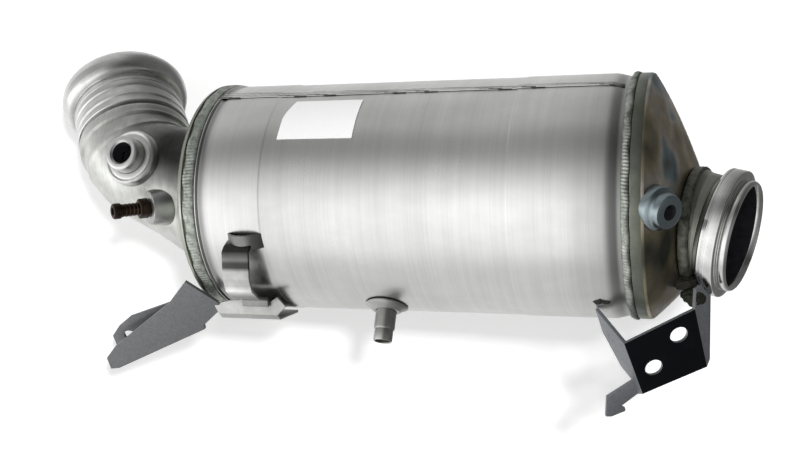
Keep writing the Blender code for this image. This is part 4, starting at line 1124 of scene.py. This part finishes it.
class FILTER_OT_brackets(bpy.types.Operator):
    """The two brackets with their welds, the foot plate and the hose clip's strap"""
    bl_idname = "filter_part.brackets"
    bl_label = "Brackets"

    def execute(self, context):
        colours = settings("colours")
        outlet = copied_node("outlet_bracket", "outlet_support", 0.0006)
        finish_piece(outlet, dark_sheet("dark_coated_sheet", colours.bracket, "5A5D63", 0.6, 0.38),
                     "outlet_bracket", 30.0)
        # The web's faces get near-black painted shade and painted dark reflection, picked by the way they face.
        web_shade = dark_sheet("web_in_painted_shade", "08090D", "15171C", 0.0, 0.5, 0.10)
        second_finish(outlet, web_shade, lambda face: face.normal.dot(WEB_FACING) > 0.97 and
                      abs(face.center.dot(WEB_FACING)) < 0.004)
        weld_and_shade = weld_with_painted_shade()
        # Near-black weld lumps that also stand for painted shade under the outlet collar.
        weld_lump("bracket_collar_weld", (0.0030, 0.0090, 0.0450), (0.0270, 0.0120, 0.0425), 0.0058, weld_and_shade, 1.3)
        weld_lump("bracket_wing_weld", (0.0080, 0.0040, 0.0385), (0.0240, 0.0040, 0.0345), 0.0050, weld_and_shade, 2.2)
        weld_lump("bracket_end_weld", (-0.0475, -0.0165, 0.0375), (-0.0335, -0.0180, 0.0362), 0.0026, weld_and_shade, 4.1)
        inlet = copied_node("inlet_bracket", "inlet_support", 0.0006)
        finish_piece(inlet, dark_sheet("grey_rolled_sheet", colours.arm, "9C9D9F", 0.8, 0.50),
                     "inlet_bracket", 30.0)
        foot = copied_node("foot_plate", "foot_plate_pressed", 0.0005)
        finish_piece(foot, plated_steel("bright_rolled_plate", colours.plate, 0.34, "93938F"), "foot_plate",
                     30.0)
        strap = copied_node("hose_clip_strap", "hose_strap", 0.0006, 12.0)
        finish_piece(strap, folded_strap(), "hose_clip_strap", 40.0)
        self.strap_hook()
        return {"FINISHED"}

    def strap_hook(self):
        """The strap's curled top, which stands open above its fold."""
        low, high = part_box("hose_clip_strap")
        width, tall, wall, edge = 0.0150, 0.0105, 0.0014, 0.0004
        place = aimed(Vector(((low.x + high.x) / 2 + 0.0035, low.y + 0.0187, high.z - 0.0036)),
                      Vector((0.0, -0.20, 1.0)))
        outline = [(width - wall, 0.0), (width, 0.0), (width, tall - edge), (width - edge, tall),
                   (width - wall + edge, tall), (width - wall, tall - edge)]
        hook = turned_piece("hose_strap_hook", outline, place, 72)
        finish_piece(hook, plated_steel("curled_strap_end", "8E8E8C", 0.40, "5C5C5A"), None, 40.0)
        shade_the_inside(hook, "shade_in_the_hook", place, width)


class FILTER_OT_inner_pieces(bpy.types.Operator):
    """Finishes for the pieces inside the can, which keep their solids' shapes"""
    bl_idname = "filter_part.inner_pieces"
    bl_label = "Inner pieces"

    def execute(self, context):
        finishes = {"brick": porous_ceramic(), "mat": fibre_mat(),
                    "retainer": plated_steel("rolled_steel_ring", settings("colours").plate, 0.4, "8A8A86")}
        for name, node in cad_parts.items():
            finish = finishes.get(name.split("_")[-1])
            if finish:
                for slot in node.material_slots:
                    slot.material = finish
        return {"FINISHED"}


class FILTER_OT_stage(bpy.types.Operator):
    """The backdrop, the lamp, the surroundings and the camera"""
    bl_idname = "filter_part.stage"
    bl_label = "Stage"

    def execute(self, context):
        stage = settings("stage")
        forward = Vector((-0.3121, 0.9426, -0.1186)).normalized()
        up = Vector((-0.0096, 0.1217, 0.9925)).normalized()
        right = forward.cross(up).normalized()
        view = Matrix((right, up, -forward)).transposed().to_4x4()
        self.backdrop(stage, forward, view)
        self.surroundings(context)
        self.lamp(stage, forward, up, right)
        camera = bpy.data.objects.new("camera", bpy.data.cameras.new("camera"))
        context.scene.collection.objects.link(camera)
        camera.matrix_world = view
        camera.matrix_world.translation = Vector(stage.eye)
        camera.data.sensor_width = 36.0
        camera.data.lens = stage.lens
        camera.data.clip_start = 0.01
        context.scene.camera = camera
        context.scene.view_settings.view_transform = "Standard"
        return {"FINISHED"}

    def backdrop(self, stage, forward, view):
        """A white sheet just behind the part, square to the view. It glows a little to the camera alone, and
        can't be seen from its back or in the metal."""
        depth = max(forward.dot(vert.co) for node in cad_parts.values() for vert in node.data.vertices)
        centre = (Vector(cad_bounds[0]) + Vector(cad_bounds[1])) / 2
        centre += forward * (depth + stage.backdrop_gap - forward.dot(centre))
        bpy.ops.mesh.primitive_plane_add(size=6.0)
        sheet = bpy.context.object
        sheet.name = "backdrop"
        sheet.matrix_world = view
        sheet.matrix_world.translation = centre
        made = bpy.data.materials.new("matt_white_sheet")
        made.use_nodes = True
        tree = made.node_tree
        tree.nodes.remove(tree.nodes["Principled BSDF"])
        camera_ray = add_node(tree, "LightPath", out="Is Camera Ray")
        lift = add_node(tree, "Math", {"operation": "MULTIPLY", 1: 0.30}, i0=camera_ray)
        lit = add_node(tree, "AddShader", i0=add_node(tree, "BsdfDiffuse", Color="F6F6F6"),
                       i1=add_node(tree, "Emission", Strength=lift))
        mixed = add_node(tree, "MixShader", i0=add_node(tree, "NewGeometry", out="Backfacing"), i1=lit,
                         i2=add_node(tree, "BsdfTransparent"))
        tree.links.new(mixed, tree.nodes["Material Output"].inputs["Surface"])
        sheet.data.materials.append(made)
        sheet.visible_glossy = False

    def surroundings(self, context):
        """A pale room, banded from floor to ceiling as the metal shows it, darker to the right. It is plain
        white to the camera."""
        world = bpy.data.worlds.new("pale_room")
        context.scene.world = world
        world.use_nodes = True
        tree = world.node_tree
        x, y, z = add_node(tree, "SeparateXYZ", i0=add_node(tree, "TexCoord", out="Generated")).node.outputs
        front = add_node(tree, "Math", {"operation": "MULTIPLY", 1: -1.0}, i0=y)
        turn = add_node(tree, "Math", {"operation": "ARCTAN2"}, i0=z, i1=front)
        bands = ramp(tree, spread(tree, turn, 0.0, 1.0, -math.pi, math.pi),
                     [(0.0, 0.80), (0.32, 0.85), (0.375, 1.28), (0.485, 1.50), (0.53, 1.15), (0.60, 0.56),
                      (0.63, 0.33), (0.67, 0.33), (0.69, 0.42), (0.715, 0.58), (0.76, 0.60), (0.80, 0.60),
                      (0.86, 0.72), (1.0, 0.85)])
        side = spread(tree, x, 1.0, 0.20, -0.16, 0.32)
        far = spread(tree, x, 1.35, 1.0, -0.85, -0.45)
        camera_ray = add_node(tree, "LightPath", out="Is Camera Ray")
        seen = blend(tree, camera_ray, multiply(tree, multiply(tree, bands, side), far), "FFFFFF")
        tree.links.new(seen, tree.nodes["Background"].inputs["Color"])

    def lamp(self, stage, forward, up, right):
        """A soft lamp above and to the right of the camera, which throws the shadow down to the left."""
        lamp = bpy.data.lights.new("key", "AREA")
        lamp.shape = "RECTANGLE"
        lamp.size = 0.14
        lamp.size_y = 0.12
        lamp.energy = stage.key
        holder = bpy.data.objects.new("key", lamp)
        bpy.context.scene.collection.objects.link(holder)
        holder.visible_glossy = False
        target = Vector((-0.2, 0.0, 0.08))
        place = target - forward * 1.3 + right * 0.21 + up * 0.21
        holder.matrix_world = aimed(place, place - target, hint=right)


class FILTER_PT_panel(bpy.types.Panel):
    """Lists the filter's pieces and sizes"""
    bl_idname = "FILTER_PT_panel"
    bl_label = "Exhaust filter"
    bl_space_type = "VIEW_3D"
    bl_region_type = "UI"
    bl_category = "Filter"

    def draw(self, context):
        column = self.layout.column()
        for group in GROUPS:
            for name in settings(group).__annotations__:
                column.prop(settings(group), name)
        for operator in OPERATORS:
            column.operator(operator.bl_idname)


GROUPS = {"can": CanSizes, "inlet": InletSizes, "outlet": OutletSizes, "colours": FinishColours,
          "stage": StageSettings}
OPERATORS = (FILTER_OT_can, FILTER_OT_rim_welds, FILTER_OT_inlet_housing, FILTER_OT_inlet_neck,
             FILTER_OT_sensor_bosses, FILTER_OT_pressure_fitting, FILTER_OT_outlet_dome, FILTER_OT_outlet_flange,
             FILTER_OT_stub, FILTER_OT_label, FILTER_OT_brackets, FILTER_OT_inner_pieces, FILTER_OT_stage)


def register():
    for name, group in GROUPS.items():
        bpy.utils.register_class(group)
        setattr(bpy.types.Scene, "filter_" + name, PointerProperty(type=group))
    for kind in OPERATORS + (FILTER_PT_panel,):
        bpy.utils.register_class(kind)


def unregister():
    for kind in (FILTER_PT_panel,) + OPERATORS[::-1]:
        bpy.utils.unregister_class(kind)
    for name, group in GROUPS.items():
        delattr(bpy.types.Scene, "filter_" + name)
        bpy.utils.unregister_class(group)


def main():
    register()
    for operator in OPERATORS:
        getattr(bpy.ops.filter_part, operator.bl_idname.split(".")[1])()


if __name__ == "__main__":
    main()
